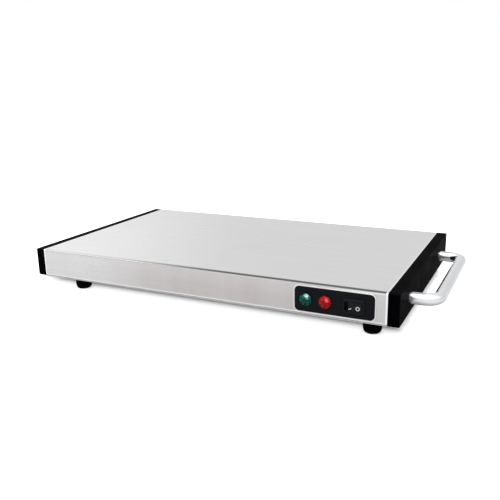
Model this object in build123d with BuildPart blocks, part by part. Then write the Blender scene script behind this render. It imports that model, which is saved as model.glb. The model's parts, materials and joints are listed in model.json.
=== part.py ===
from build123d import *
import math
import os

# A buffet warming tray: a folded steel box between two moulded end caps, with its
# heater, thermostat, switch, pilot lamps and mains inlet.
# Millimetres. X runs along the tray with the carrying handle at +X, the control panel
# faces -Y, Z is up. The origin is on the table, under the middle of the overall box.

# Body
body_length = 451.0
body_depth = 263.5
body_height = 33.8
sheet = 0.8
thin_sheet = 0.5
fold_radius = 1.5
flange_width = 22.0
plate_inset = 0.5
vent_length = 24.0
vent_width = 4.0
vent_pitch = 11.0
vent_rows = 7
vent_columns = 4
vent_left_gap = 60.0
vent_right_gap = 71.0
vent_block_gap = 14.0
fit_gap = 0.15
pick_margin = 0.01

# End caps
cap_thickness = 12.0
cap_wall = 3.0
cap_edge = 0.8
spigot_length = 12.0
spigot_wall = 2.0
spigot_corner = 1.2
cap_boss_width = 10.0
cap_boss_height = 8.0
cap_screw_spread = 90.0

# Feet
foot_radius = 9.6
foot_height = 12.3
foot_sole_radius = 6.3
foot_wall_height = 6.4
foot_recess_radius = 4.5
foot_recess_depth = 6.0
foot_inset = 12.0
left_foot_inset = 60.5
right_foot_inset = 29.0

# Handle
handle_diameter = 12.7
handle_wall = 1.2
handle_standoff = 27.4
handle_bend = 14.0
handle_front = 88.8
handle_rear = 77.2
handle_lift = 0.5
handle_socket_depth = 8.0
handle_socket_gap = 0.1
handle_socket_wall = 2.2
handle_plug_length = 12.0
backing_thickness = 2.0
backing_height = 14.0
backing_overhang = 9.0

# Control panel
panel_length = 82.8
panel_top_margin = 3.8
panel_bottom_margin = 3.7
panel_corner = 4.8
panel_from_end = 24.1
panel_proud = 0.7
panel_overlap = 1.2
panel_depth = 6.0
panel_rim = 1.5
panel_floor = 2.0
hook_length = 8.0
hook_height = 0.9
hook_run = 3.0
hook_root = 0.2
lip_width = 0.9
lip_height = 0.5
lip_gap = 0.2

# Pilot lamps
lamp_from_panel_edge = 12.2
lamp_pitch = 20.5
lamp_rise = -0.1
lens_radius = 6.7
lens_height = 4.2
lens_sides = 12
lens_barrel_radius = 4.0
lens_barrel_bore = 3.0
lens_barrel_length = 6.0
lens_bore_reach = 1.4
holder_radius = 4.5
holder_wall = 0.45
holder_length = 24.0
holder_rim = 0.8
holder_gap = 0.1
retainer_radius = 6.5
retainer_thickness = 1.5
bulb_radius = 2.5
bulb_length = 13.0
lamp_tag_width = 2.8
lamp_tag_thickness = 0.5
lamp_tag_length = 8.0
lamp_tag_pitch = 4.4

# Rocker switch
switch_from_panel_edge = 61.9
switch_drop = 0.9
bezel_length = 22.0
bezel_height = 15.0
bezel_proud = 1.6
bezel_corner = 1.2
switch_body_length = 20.0
switch_body_height = 12.7
switch_body_depth = 16.0
switch_body_gap = 0.1
rocker_reach = 8.8
rocker_height = 8.5
rocker_end_gap = 0.25
rocker_side_gap = 0.2
rocker_pivot_depth = 2.2
rocker_underside = 4.0
rocker_half_angle = 11.0
rocker_proud = 0.3
trunnion_radius = 1.2
trunnion_length = 1.4
trunnion_gap = 0.05
bridge_thickness = 0.6
bridge_width = 4.0
switch_tag_width = 4.8
switch_tag_thickness = 0.8
switch_tag_length = 8.0
switch_tag_spread = 5.0
contact_gap = 0.3
switch_floor = 2.0

# Mains inlet
inlet_from_end = 75.0
inlet_flange_length = 50.0
inlet_flange_height = 23.0
inlet_flange_thickness = 2.0
inlet_flange_corner = 3.0
inlet_body_length = 27.0
inlet_body_height = 19.8
inlet_body_depth = 18.0
inlet_socket_length = 24.4
inlet_socket_height = 16.6
inlet_socket_depth = 15.5
inlet_socket_chamfer = 4.5
inlet_body_chamfer = 5.0
inlet_gap = 0.2
inlet_screw_pitch = 40.0
pin_width = 2.0
pin_height = 4.0
pin_pitch = 7.0
pin_drop = 2.0
pin_length = 14.0
inlet_tag_width = 6.3
inlet_tag_thickness = 0.8
inlet_tag_length = 8.0

# Heater
hot_zone_end_gap = 14.0
spreader_thickness = 2.5
spreader_side_gap = 17.0
shield_to_spreader = 5.0
shield_to_panel = 18.0
element_diameter = 6.6
element_pitch = 50.0
element_left_gap = 26.0
element_right_gap = 65.0
element_tail = 4.0
bush_length = 4.0
bush_bore = 1.4
pin_radius = 1.25
pin_reach = 10.0
clamp_width = 8.0
clamp_foot = 8.0
clamp_gap = 0.05
clamp_columns = (0.22, 0.78)
stud_diameter = 4.0
stud_hole_gap = 0.2
stud_edge_inset = 12.0
stud_tail = 0.8
floor_gap = 2.7
spacer_radius = 4.0
upper_spacer = 7.4
reflector_inset = 4.0
reflector_right_gap = 29.0
tray_hole_pitch = 42.0
tray_hole_radius = 3.0

# Heat shield
shield_foot = 12.0
shield_side_gap = 2.5
shield_top_gap = 0.6
shield_bottom_gap = 0.4
rivet_radius = 1.6
rivet_head_radius = 3.0
rivet_head_height = 0.9
rivet_spread = 80.0
wire_window_radius = 5.0
window_drop = 10.0
front_window_offset = 36.0
rear_window_offset = 62.0
grommet_wall = 1.4
grommet_lip = 1.2

# Thermostat and fuse
thermostat_radius = 8.0
thermostat_cup_height = 5.0
thermostat_body_height = 7.0
thermostat_flange_radius = 8.6
thermostat_flange_height = 1.0
thermostat_inset = 12.0
thermostat_tag_width = 6.3
thermostat_tag_reach = 8.0
thermostat_tag_grip = 1.5
bracket_thickness = 0.8
bracket_width = 20.0
fuse_radius = 2.0
fuse_length = 11.0
fuse_lead_radius = 0.5
fuse_lead_length = 7.0
fuse_offset = 46.0
clip_thickness = 0.6
clip_width = 6.0
clip_foot = 8.0

# Terminal block
block_length = 40.0
block_width = 17.0
block_height = 12.0
block_corner = 1.5
block_pitch = 9.5
block_inset = 45.0
block_rear_gap = 92.0
block_screw_inset = 4.0
clamp_bore = 1.6
clamp_radius = 2.9
sleeve_recess = 1.5
grub_radius = 1.5
grub_length = 3.6

# Screws, nuts and washers, each with its head on the plane that it seats on
thread_gap = 0.05
m3_diameter = 3.0
m3_head_radius = 2.9
m3_head_height = 1.9
m3_nut_width = 5.5
m3_nut_height = 2.4
m4_diameter = 4.0
m4_head_radius = 3.8
m4_head_height = 2.4
m4_nut_width = 7.0
m4_nut_height = 3.2
m5_diameter = 5.0
m5_head_radius = 4.6
m5_head_height = 3.2
washer_thickness = 1.0
hole_gap = 0.2
recess_width = 0.8
recess_share = 1.3
base_screw_columns = (-105.0, 0.0, 110.0)

# Wiring
wire_radius = 1.2
lamp_wire_radius = 0.75
lamp_wire_spread = 0.8
lamp_wire_lead = 0.18
wire_insert = 4.5
high_run = 10.0
middle_run = 6.2
low_run = 2.5
terminal_lead = 14.0
switch_lead = 12.0
earth_lead = 9.0
thermostat_lead = 9.0
fuse_lead = 5.0
live_aside = 4.0
live_front = 27.0
live_rear = 34.0
switch_aside = 16.0
switch_run = 36.0
window_far = 25.0
window_near = 9.0
window_past = 7.0
window_shift = 10.0
window_slope = 1.0
window_back = 6.0
flag_drop = 12.0
block_rear_lead = 22.0
block_front_lead = 20.0
block_shift = 24.0
block_run = 35.0
lamp_lead = 10.0
lamp_drop = 28.0
lamp_climb = 32.0
lamp_entry = 16.0
lamp_wire_step = 2.0
receptacle_wall = 0.7
receptacle_length = 9.0
flag_size = 6.0
crimp_length = 6.0
crimp_radius = 1.2
earth_rear_gap = 59.0
earth_ring_radius = 4.5
earth_ring_thickness = 0.8

# Frame: the overall box is centred on the origin in X and Y and stands on z = 0
lamp_reach = panel_proud + holder_rim + lens_height
rear_reach = inlet_flange_thickness + m3_head_height
switch_reach = panel_proud + bezel_proud + rocker_proud
front_reach = max(lamp_reach, switch_reach)
handle_reach = handle_standoff + handle_diameter / 2
centre_x = -handle_reach / 2
centre_y = (front_reach - rear_reach) / 2
left_x = centre_x - body_length / 2
right_x = centre_x + body_length / 2
front_y = centre_y - body_depth / 2
rear_y = centre_y + body_depth / 2
base_z = foot_height
top_z = base_z + body_height
middle_z = (base_z + top_z) / 2

# Levels and lines that several pieces share
shell_left = left_x + cap_thickness
shell_right = right_x - cap_thickness
shell_length = shell_right - shell_left
shell_middle = (shell_left + shell_right) / 2
floor_z = base_z + sheet
flange_top_z = floor_z + sheet
ceiling_z = top_z - sheet
shell_height = top_z - floor_z
screw_line = body_depth / 2 - foot_inset

panel_height = body_height - panel_top_margin - panel_bottom_margin
panel_x = right_x - panel_from_end - panel_length / 2
panel_z = base_z + panel_bottom_margin + panel_height / 2
panel_face_y = front_y - panel_proud
lamp_z = panel_z + lamp_rise
green_x = panel_x - panel_length / 2 + lamp_from_panel_edge
red_x = green_x + lamp_pitch
switch_x = panel_x - panel_length / 2 + switch_from_panel_edge
switch_z = panel_z - switch_drop
bezel_face_y = panel_face_y - bezel_proud
pivot_y = bezel_face_y + rocker_pivot_depth

inlet_x = right_x - inlet_from_end
inlet_z = middle_z + sheet / 2
inlet_face_y = rear_y + inlet_flange_thickness
inlet_pin_points = [
    (inlet_x + pin_pitch, inlet_z - pin_drop),
    (inlet_x, inlet_z + pin_drop),
    (inlet_x - pin_pitch, inlet_z - pin_drop),
]

handle_z = middle_z + handle_lift
handle_front_y = centre_y - handle_front
handle_rear_y = centre_y + handle_rear

shield_x = panel_x - panel_length / 2 - shield_to_panel
spreader_left = shell_left + hot_zone_end_gap
spreader_right = shield_x - shield_to_spreader
spreader_depth = body_depth - 2 * sheet - 2 * spreader_side_gap
spreader_z = ceiling_z - spreader_thickness
element_z = spreader_z - element_diameter / 2
element_left = spreader_left + element_left_gap
element_right = spreader_right - element_right_gap
element_end = shield_x + sheet + element_tail
element_front = centre_y - 1.5 * element_pitch
element_rear = centre_y + 1.5 * element_pitch

reflector_left = spreader_left + reflector_inset
reflector_right = spreader_right - reflector_right_gap
reflector_depth = spreader_depth - 2 * reflector_inset
upper_nut_z = spreader_z - m4_nut_height
reflector_top = upper_nut_z - upper_spacer
reflector_z = reflector_top - thin_sheet
tray_z = floor_z + floor_gap + stud_tail + m4_nut_height
mat_z = tray_z + thin_sheet
mat_thickness = reflector_z - mat_z
stud_end_z = tray_z - m4_nut_height - stud_tail

stud_columns = (
    reflector_left + stud_edge_inset,
    (reflector_left + reflector_right) / 2,
    reflector_right - stud_edge_inset,
)
stud_rows = (
    centre_y - reflector_depth / 2 + stud_edge_inset / 2,
    centre_y + reflector_depth / 2 - stud_edge_inset / 2,
)
stud_points = [(x, y) for x in stud_columns for y in stud_rows]

thermostat_x = spreader_right - thermostat_inset
thermostat_y = centre_y
fuse_y = centre_y + fuse_offset
block_x = shield_x + block_inset
block_y = rear_y - block_rear_gap
vent_left = spreader_left + vent_left_gap
vent_step = (spreader_right - vent_right_gap - vent_left) / (vent_columns - 1)
vent_points = [vent_left + column * vent_step for column in range(vent_columns)]
vent_points.append(block_x + block_length / 2 + vent_block_gap)
block_screw_points = [
    (block_x + side * (block_length / 2 - block_screw_inset), block_y) for side in (-1, 1)
]
earth_x = inlet_x
earth_y = rear_y - earth_rear_gap
rivet_points = [
    (shield_x + shield_foot / 2 + sheet, centre_y + row)
    for row in (-rivet_spread, 0.0, rivet_spread)
]
wire_windows = [
    (centre_y - front_window_offset, element_z - window_drop),
    (centre_y + rear_window_offset, element_z - window_drop),
]

feet = {
    "front_left_foot": (left_x + left_foot_inset, centre_y - screw_line),
    "front_right_foot": (right_x - right_foot_inset, centre_y - screw_line),
    "rear_left_foot": (left_x + left_foot_inset, centre_y + screw_line),
    "rear_right_foot": (right_x - right_foot_inset, centre_y + screw_line),
}
foot_points = list(feet.values())
base_screw_points = [
    (centre_x + column, centre_y + side * screw_line)
    for column in base_screw_columns
    for side in (-1, 1)
]
cap_screw_rows = (-cap_screw_spread, 0.0, cap_screw_spread)
cap_screw_columns = (shell_left + spigot_length / 2, shell_right - spigot_length / 2)
cap_screw_points = [
    (column, centre_y + row) for column in cap_screw_columns for row in cap_screw_rows
]

os.makedirs("parts", exist_ok=True)


def facing_front(x, y, z):
    """Plane that faces -Y, with X to the right and Z up."""
    return Plane(origin=(x, y, z), x_dir=(1, 0, 0), z_dir=(0, -1, 0))


def facing_rear(x, y, z):
    """Plane that faces +Y, with Z up."""
    return Plane(origin=(x, y, z), x_dir=(-1, 0, 0), z_dir=(0, 1, 0))


def facing_right(x, y, z):
    """Plane that faces +X, with Z up."""
    return Plane(origin=(x, y, z), x_dir=(0, 1, 0), z_dir=(1, 0, 0))


def facing_left(x, y, z):
    """Plane that faces -X, with Z up."""
    return Plane(origin=(x, y, z), x_dir=(0, -1, 0), z_dir=(-1, 0, 0))


def facing_up(x, y, z):
    """Plane that faces +Z."""
    return Plane(origin=(x, y, z), x_dir=(1, 0, 0), z_dir=(0, 0, 1))


def facing_down(x, y, z):
    """Plane that faces -Z."""
    return Plane(origin=(x, y, z), x_dir=(1, 0, 0), z_dir=(0, 0, -1))


def add_screw(seat, diameter, length, head_radius, head_height):
    """Pan head screw with a cross recess: the head stands on the seat, the shank runs behind it."""
    with Locations(seat):
        Cylinder(diameter / 2, length, align=(Align.CENTER, Align.CENTER, Align.MAX))
        Cylinder(head_radius, head_height, align=(Align.CENTER, Align.CENTER, Align.MIN))
        with Locations((0, 0, head_height)):
            Box(recess_share * head_radius, recess_width, head_height, mode=Mode.SUBTRACT)
            Box(recess_width, recess_share * head_radius, head_height, mode=Mode.SUBTRACT)


def add_nut(seat, diameter, width, height):
    """Hexagon nut that stands on the seat."""
    with BuildSketch(seat) as hexagon:
        RegularPolygon(width / 2, 6, major_radius=False)
    extrude(hexagon.sketch, amount=height)
    with Locations(seat):
        Cylinder(diameter / 2 + thread_gap, 2 * height, mode=Mode.SUBTRACT)


def add_ring(seat, outer_radius, inner_radius, height):
    """Washer, spacer or sleeve that stands on the seat."""
    with Locations(seat):
        Cylinder(outer_radius, height, align=(Align.CENTER, Align.CENTER, Align.MIN))
        Cylinder(inner_radius, 2 * height, mode=Mode.SUBTRACT)


def cut_holes(points, z, radius, depth):
    """Upright round holes through the current part, centred on z."""
    with Locations(*[(x, y, z) for x, y in points]):
        Cylinder(radius, depth, mode=Mode.SUBTRACT)


# Folded sheet: top, front, rear and the turned-in bottom flanges
with BuildPart() as top_shell:
    with BuildSketch(Plane.YZ.offset(shell_left)):
        with Locations((centre_y, floor_z + shell_height / 2)):
            RectangleRounded(body_depth, shell_height, fold_radius)
            RectangleRounded(
                body_depth - 2 * sheet,
                shell_height - 2 * sheet,
                fold_radius - sheet,
                mode=Mode.SUBTRACT,
            )
        with Locations((centre_y, floor_z + sheet / 2)):
            Rectangle(body_depth - 2 * flange_width, 2 * sheet, mode=Mode.SUBTRACT)
    extrude(amount=shell_length)
    with BuildSketch(facing_front(panel_x, front_y + sheet / 2, panel_z)):
        RectangleRounded(
            panel_length + 2 * (lip_gap + lip_width),
            panel_height + 2 * (lip_gap + lip_width),
            panel_corner + lip_gap + lip_width,
        )
        RectangleRounded(
            panel_length + 2 * lip_gap,
            panel_height + 2 * lip_gap,
            panel_corner + lip_gap,
            mode=Mode.SUBTRACT,
        )
    extrude(amount=lip_height + sheet / 2)
    with BuildSketch(facing_front(panel_x, front_y + 2 * sheet, panel_z)):
        RectangleRounded(
            panel_length - 2 * panel_overlap,
            panel_height - 2 * panel_overlap,
            panel_corner - panel_overlap,
        )
    extrude(amount=3 * sheet, mode=Mode.SUBTRACT)
    with BuildSketch(facing_rear(inlet_x, rear_y - 2 * sheet, inlet_z)):
        Rectangle(inlet_body_length + 2 * inlet_gap, inlet_body_height + 2 * inlet_gap)
        with Locations((-inlet_screw_pitch / 2, 0), (inlet_screw_pitch / 2, 0)):
            Circle(m3_diameter / 2 + hole_gap)
    extrude(amount=3 * sheet, mode=Mode.SUBTRACT)
    cut_holes(foot_points, floor_z, m4_diameter / 2 + hole_gap, 4 * sheet)
    cut_holes(base_screw_points, floor_z, m3_diameter / 2 + thread_gap, 4 * sheet)
top_shell.part.label = "top_shell"
export_step(top_shell.part, "parts/top_shell.step")


# Flat bottom plate under the flanges, with its vents
with BuildPart() as bottom_plate:
    with BuildSketch(Plane.XY.offset(base_z)):
        with Locations((shell_middle, centre_y)):
            Rectangle(shell_length, body_depth - 2 * plate_inset)
        for vent_x in vent_points:
            with Locations((vent_x, centre_y)):
                with GridLocations(vent_pitch, vent_pitch, 1, vent_rows):
                    SlotOverall(vent_length, vent_width, mode=Mode.SUBTRACT)
    extrude(amount=sheet)
    cut_holes(foot_points, floor_z, m4_diameter / 2 + hole_gap, 4 * sheet)
    cut_holes(base_screw_points, floor_z, m3_diameter / 2 + hole_gap, 4 * sheet)
    cut_holes(cap_screw_points, floor_z, m3_diameter / 2 + hole_gap, 4 * sheet)
    cut_holes(rivet_points, floor_z, rivet_radius + thread_gap, 4 * sheet)
    cut_holes(block_screw_points, floor_z, m3_diameter / 2 + thread_gap, 4 * sheet)
    cut_holes([(earth_x, earth_y)], floor_z, m4_diameter / 2 + hole_gap, 4 * sheet)
bottom_plate.part.label = "bottom_plate"
export_step(bottom_plate.part, "parts/bottom_plate.step")


# End caps: a moulded tray with a spigot inside the sheet and bosses for the screws
spigot_depth = body_depth - 2 * sheet - 2 * fit_gap
spigot_bottom = flange_top_z + fit_gap
spigot_top = ceiling_z - fit_gap
spigot_height = spigot_top - spigot_bottom
spigot_z = (spigot_bottom + spigot_top) / 2
pocket_depth = spigot_depth - 2 * spigot_wall
pocket_height = spigot_height - 2 * spigot_wall
for cap_name, outer_x, away in (("left_end_cap", left_x, -1), ("right_end_cap", right_x, 1)):
    facing_out = facing_right if away > 0 else facing_left
    inner_x = outer_x - away * cap_thickness
    mouth_x = inner_x - away * spigot_length
    with BuildPart() as end_cap:
        with BuildSketch(facing_out(outer_x, centre_y, middle_z)):
            RectangleRounded(body_depth, body_height, fold_radius)
        extrude(amount=-cap_thickness)
        outer_edges = end_cap.edges().filter_by_position(
            Axis.X, outer_x - pick_margin, outer_x + pick_margin
        )
        fillet(outer_edges, cap_edge)
        with BuildSketch(facing_out(mouth_x, centre_y, spigot_z)):
            RectangleRounded(spigot_depth, spigot_height, spigot_corner)
        extrude(amount=spigot_length)
        with BuildSketch(facing_out(mouth_x, centre_y, spigot_z)):
            Rectangle(pocket_depth, pocket_height)
        extrude(amount=spigot_length + cap_thickness - cap_wall, mode=Mode.SUBTRACT)
        with Locations(
            *[
                ((inner_x + mouth_x) / 2, centre_y + row, floor_z)
                for row in cap_screw_rows
            ]
        ):
            Box(
                spigot_length,
                cap_boss_width,
                cap_boss_height,
                align=(Align.CENTER, Align.CENTER, Align.MIN),
            )
            Cylinder(
                m3_diameter / 2 + thread_gap,
                2 * (cap_boss_height - cap_wall / 2),
                mode=Mode.SUBTRACT,
            )
        if away > 0:
            for post_y in (handle_front_y, handle_rear_y):
                with Locations(facing_right(outer_x - cap_wall / 2, post_y, handle_z)):
                    Cylinder(
                        handle_diameter / 2 + handle_socket_gap + handle_socket_wall,
                        cap_thickness - cap_wall / 2,
                        align=(Align.CENTER, Align.CENTER, Align.MAX),
                    )
                with Locations(facing_right(outer_x, post_y, handle_z)):
                    Cylinder(
                        handle_diameter / 2 + handle_socket_gap,
                        2 * handle_socket_depth,
                        mode=Mode.SUBTRACT,
                    )
                    Cylinder(m5_diameter / 2 + hole_gap, 3 * cap_thickness, mode=Mode.SUBTRACT)
    end_cap.part.label = cap_name
    export_step(end_cap.part, f"parts/{cap_name}.step")


# Screws from below: into the cap bosses, and into the flanges of the top sheet
with BuildPart() as case_screws:
    for points, length in (
        (cap_screw_points, sheet + cap_boss_height - cap_wall),
        (base_screw_points, 5 * sheet),
    ):
        for x, y in points:
            add_screw(
                facing_down(x, y, base_z), m3_diameter, length, m3_head_radius, m3_head_height
            )
case_screws.part.label = "case_screws"
export_step(case_screws.part, "parts/case_screws.step")


# Rubber feet, bowl shaped, each with a recess for its screw head
for foot_name, (foot_x, foot_y) in feet.items():
    with BuildPart() as foot:
        with BuildSketch(facing_front(foot_x, foot_y, 0)):
            with BuildLine():
                EllipticalCenterArc(
                    (foot_sole_radius, foot_wall_height),
                    foot_radius - foot_sole_radius,
                    foot_wall_height,
                    start_angle=-90,
                    arc_size=90,
                )
                Polyline(
                    (foot_radius, foot_wall_height),
                    (foot_radius, foot_height),
                    (m4_diameter / 2 + hole_gap, foot_height),
                    (m4_diameter / 2 + hole_gap, foot_recess_depth),
                    (foot_recess_radius, foot_recess_depth),
                    (foot_recess_radius, 0),
                    (foot_sole_radius, 0),
                )
            make_face()
        revolve(axis=Axis((foot_x, foot_y, 0), (0, 0, 1)))
    foot.part.label = foot_name
    export_step(foot.part, f"parts/{foot_name}.step")

foot_grip = foot_height - foot_recess_depth + 2 * sheet
with BuildPart() as foot_screws:
    for x, y in foot_points:
        add_screw(
            facing_down(x, y, foot_recess_depth - washer_thickness),
            m4_diameter,
            washer_thickness + foot_grip + m4_nut_height + stud_tail,
            m4_head_radius,
            m4_head_height,
        )
foot_screws.part.label = "foot_screws"
export_step(foot_screws.part, "parts/foot_screws.step")

with BuildPart() as foot_nuts:
    for x, y in foot_points:
        add_nut(facing_up(x, y, flange_top_z), m4_diameter, m4_nut_width, m4_nut_height)
foot_nuts.part.label = "foot_nuts"
export_step(foot_nuts.part, "parts/foot_nuts.step")


# Carrying handle: one bent tube whose ends sit in the sockets of the right cap
socket_floor_x = right_x - handle_socket_depth
handle_bar_x = right_x + handle_standoff
with BuildPart() as handle_tube:
    with BuildLine() as handle_path:
        FilletPolyline(
            (socket_floor_x, handle_front_y, handle_z),
            (handle_bar_x, handle_front_y, handle_z),
            (handle_bar_x, handle_rear_y, handle_z),
            (socket_floor_x, handle_rear_y, handle_z),
            radius=handle_bend,
        )
    with BuildSketch(facing_right(socket_floor_x, handle_front_y, handle_z)):
        Circle(handle_diameter / 2)
        Circle(handle_diameter / 2 - handle_wall, mode=Mode.SUBTRACT)
    sweep(path=handle_path.line)
handle_tube.part.label = "handle_tube"
export_step(handle_tube.part, "parts/handle_tube.step")

handle_posts = (handle_front_y, handle_rear_y)
with BuildPart() as handle_plugs:
    for post_y in handle_posts:
        add_ring(
            facing_right(socket_floor_x, post_y, handle_z),
            handle_diameter / 2 - handle_wall,
            m5_diameter / 2 + thread_gap,
            handle_plug_length,
        )
handle_plugs.part.label = "handle_plugs"
export_step(handle_plugs.part, "parts/handle_plugs.step")

with BuildPart() as handle_backing_plate:
    with BuildSketch(
        facing_right(shell_right, (handle_front_y + handle_rear_y) / 2, handle_z)
    ):
        RectangleRounded(
            handle_front + handle_rear + 2 * backing_overhang, backing_height, spigot_corner
        )
        with GridLocations(handle_front + handle_rear, 0, 2, 1):
            Circle(m5_diameter / 2 + hole_gap, mode=Mode.SUBTRACT)
    extrude(amount=-backing_thickness)
handle_backing_plate.part.label = "handle_backing_plate"
export_step(handle_backing_plate.part, "parts/handle_backing_plate.step")

with BuildPart() as washers:
    for post_y in handle_posts:
        add_ring(
            facing_left(shell_right - backing_thickness, post_y, handle_z),
            m5_head_radius + hole_gap,
            m5_diameter / 2 + hole_gap,
            washer_thickness,
        )
    for x, y in foot_points:
        add_ring(
            facing_down(x, y, foot_recess_depth),
            foot_recess_radius - fit_gap,
            m4_diameter / 2 + hole_gap,
            washer_thickness,
        )
washers.part.label = "washers"
export_step(washers.part, "parts/washers.step")

handle_screw_length = (
    backing_thickness + cap_thickness - handle_socket_depth + handle_plug_length
)
with BuildPart() as handle_screws:
    for post_y in handle_posts:
        add_screw(
            facing_left(shell_right - backing_thickness - washer_thickness, post_y, handle_z),
            m5_diameter,
            handle_screw_length,
            m5_head_radius,
            m5_head_height,
        )
handle_screws.part.label = "handle_screws"
export_step(handle_screws.part, "parts/handle_screws.step")


# Control panel: a moulded plate that snaps into the lipped cut-out
skirt_length = panel_length - 2 * panel_overlap - 2 * fit_gap
skirt_height = panel_height - 2 * panel_overlap - 2 * fit_gap
skirt_corner = panel_corner - panel_overlap - fit_gap
with BuildPart() as control_panel:
    with BuildSketch(facing_front(panel_x, front_y, panel_z)):
        RectangleRounded(panel_length, panel_height, panel_corner)
    extrude(amount=panel_proud)
    face_edges = control_panel.edges().filter_by_position(
        Axis.Y, panel_face_y - pick_margin, panel_face_y + pick_margin
    )
    chamfer(face_edges, panel_proud / 2)
    with BuildSketch(facing_front(panel_x, front_y + panel_depth, panel_z)):
        RectangleRounded(skirt_length, skirt_height, skirt_corner)
    extrude(amount=panel_depth)
    with BuildSketch(facing_front(panel_x, front_y + panel_depth, panel_z)):
        Rectangle(skirt_length - 2 * panel_rim, skirt_height - 2 * panel_rim)
    extrude(amount=panel_depth + panel_proud - panel_floor, mode=Mode.SUBTRACT)
    hook_y = front_y + sheet + fit_gap
    for side in (-1, 1):
        skirt_z = panel_z + side * skirt_height / 2
        with BuildSketch(Plane.YZ.offset(panel_x - hook_length / 2)):
            with BuildLine():
                Polyline(
                    (hook_y, skirt_z - side * hook_root),
                    (hook_y, skirt_z + side * hook_height),
                    (hook_y + hook_run, skirt_z),
                    (hook_y + hook_run, skirt_z - side * hook_root),
                    close=True,
                )
            make_face()
        extrude(amount=hook_length)
    with Locations(
        facing_front(green_x, front_y, lamp_z), facing_front(red_x, front_y, lamp_z)
    ):
        Cylinder(holder_radius + holder_gap, 4 * panel_depth, mode=Mode.SUBTRACT)
    with Locations(facing_front(switch_x, front_y, switch_z)):
        Box(
            switch_body_length + 2 * switch_body_gap,
            switch_body_height + 2 * switch_body_gap,
            4 * panel_depth,
            mode=Mode.SUBTRACT,
        )
control_panel.part.label = "control_panel"
export_step(control_panel.part, "parts/control_panel.step")


# Pilot lamps: a faceted lens in front of a sleeve that holds the neon bulb
lens_seat_y = panel_face_y - holder_rim
lens_stages = ((0.0, 1.0), (0.28, 0.96), (0.72, 0.74), (1.0, 0.36))
for lens_name, lens_x in (("green_lens", green_x), ("red_lens", red_x)):
    with BuildPart() as lens:
        for reach, share in lens_stages:
            with BuildSketch(facing_front(lens_x, lens_seat_y - reach * lens_height, lamp_z)):
                RegularPolygon(share * lens_radius, lens_sides)
        loft(ruled=True)
        with Locations(facing_front(lens_x, lens_seat_y, lamp_z)):
            Cylinder(
                lens_barrel_radius,
                lens_barrel_length,
                align=(Align.CENTER, Align.CENTER, Align.MAX),
            )
            with Locations((0, 0, lens_bore_reach)):
                Cylinder(
                    lens_barrel_bore,
                    lens_bore_reach + lens_barrel_length,
                    align=(Align.CENTER, Align.CENTER, Align.MAX),
                    mode=Mode.SUBTRACT,
                )
    lens.part.label = lens_name
    export_step(lens.part, f"parts/{lens_name}.step")

lamp_axes = (green_x, red_x)
holder_bore = holder_radius - holder_wall
panel_back_y = panel_face_y + panel_floor
holder_back_y = panel_face_y + holder_length
with BuildPart() as lamp_holders:
    for lamp_x in lamp_axes:
        with Locations(facing_front(lamp_x, panel_face_y, lamp_z)):
            Cylinder(lens_radius - fit_gap, holder_rim, align=(Align.CENTER, Align.CENTER, Align.MIN))
            Cylinder(holder_radius, holder_length, align=(Align.CENTER, Align.CENTER, Align.MAX))
            with Locations((0, 0, holder_rim)):
                Cylinder(
                    holder_bore,
                    holder_length + holder_rim - panel_floor,
                    align=(Align.CENTER, Align.CENTER, Align.MAX),
                    mode=Mode.SUBTRACT,
                )
        with Locations(facing_front(lamp_x, holder_back_y, lamp_z)):
            for side in (-1, 1):
                with Locations((side * lamp_tag_pitch / 2, 0, 0)):
                    Box(
                        lamp_tag_thickness,
                        lamp_tag_width,
                        3 * panel_floor,
                        mode=Mode.SUBTRACT,
                    )
lamp_holders.part.label = "lamp_holders"
export_step(lamp_holders.part, "parts/lamp_holders.step")

with BuildPart() as lamp_retainers:
    for lamp_x in lamp_axes:
        add_ring(
            facing_rear(lamp_x, panel_back_y, lamp_z),
            retainer_radius,
            holder_radius + thread_gap,
            retainer_thickness,
        )
lamp_retainers.part.label = "lamp_retainers"
export_step(lamp_retainers.part, "parts/lamp_retainers.step")

bulb_seat_y = holder_back_y - panel_floor
with BuildPart() as lamp_bulbs:
    for lamp_x in lamp_axes:
        with Locations(facing_front(lamp_x, bulb_seat_y, lamp_z)):
            Cylinder(
                bulb_radius,
                bulb_length - bulb_radius,
                align=(Align.CENTER, Align.CENTER, Align.MIN),
            )
            with Locations((0, 0, bulb_length - bulb_radius)):
                Sphere(bulb_radius)
lamp_bulbs.part.label = "lamp_bulbs"
export_step(lamp_bulbs.part, "parts/lamp_bulbs.step")

with BuildPart() as lamp_tags:
    for lamp_x in lamp_axes:
        for side in (-1, 1):
            tag_x = lamp_x + side * lamp_tag_pitch / 2
            with Locations(facing_rear(tag_x, bulb_seat_y, lamp_z)):
                Box(
                    lamp_tag_thickness,
                    lamp_tag_width,
                    panel_floor + lamp_tag_length,
                    align=(Align.CENTER, Align.CENTER, Align.MIN),
                )
lamp_tags.part.label = "lamp_tags"
export_step(lamp_tags.part, "parts/lamp_tags.step")


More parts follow.
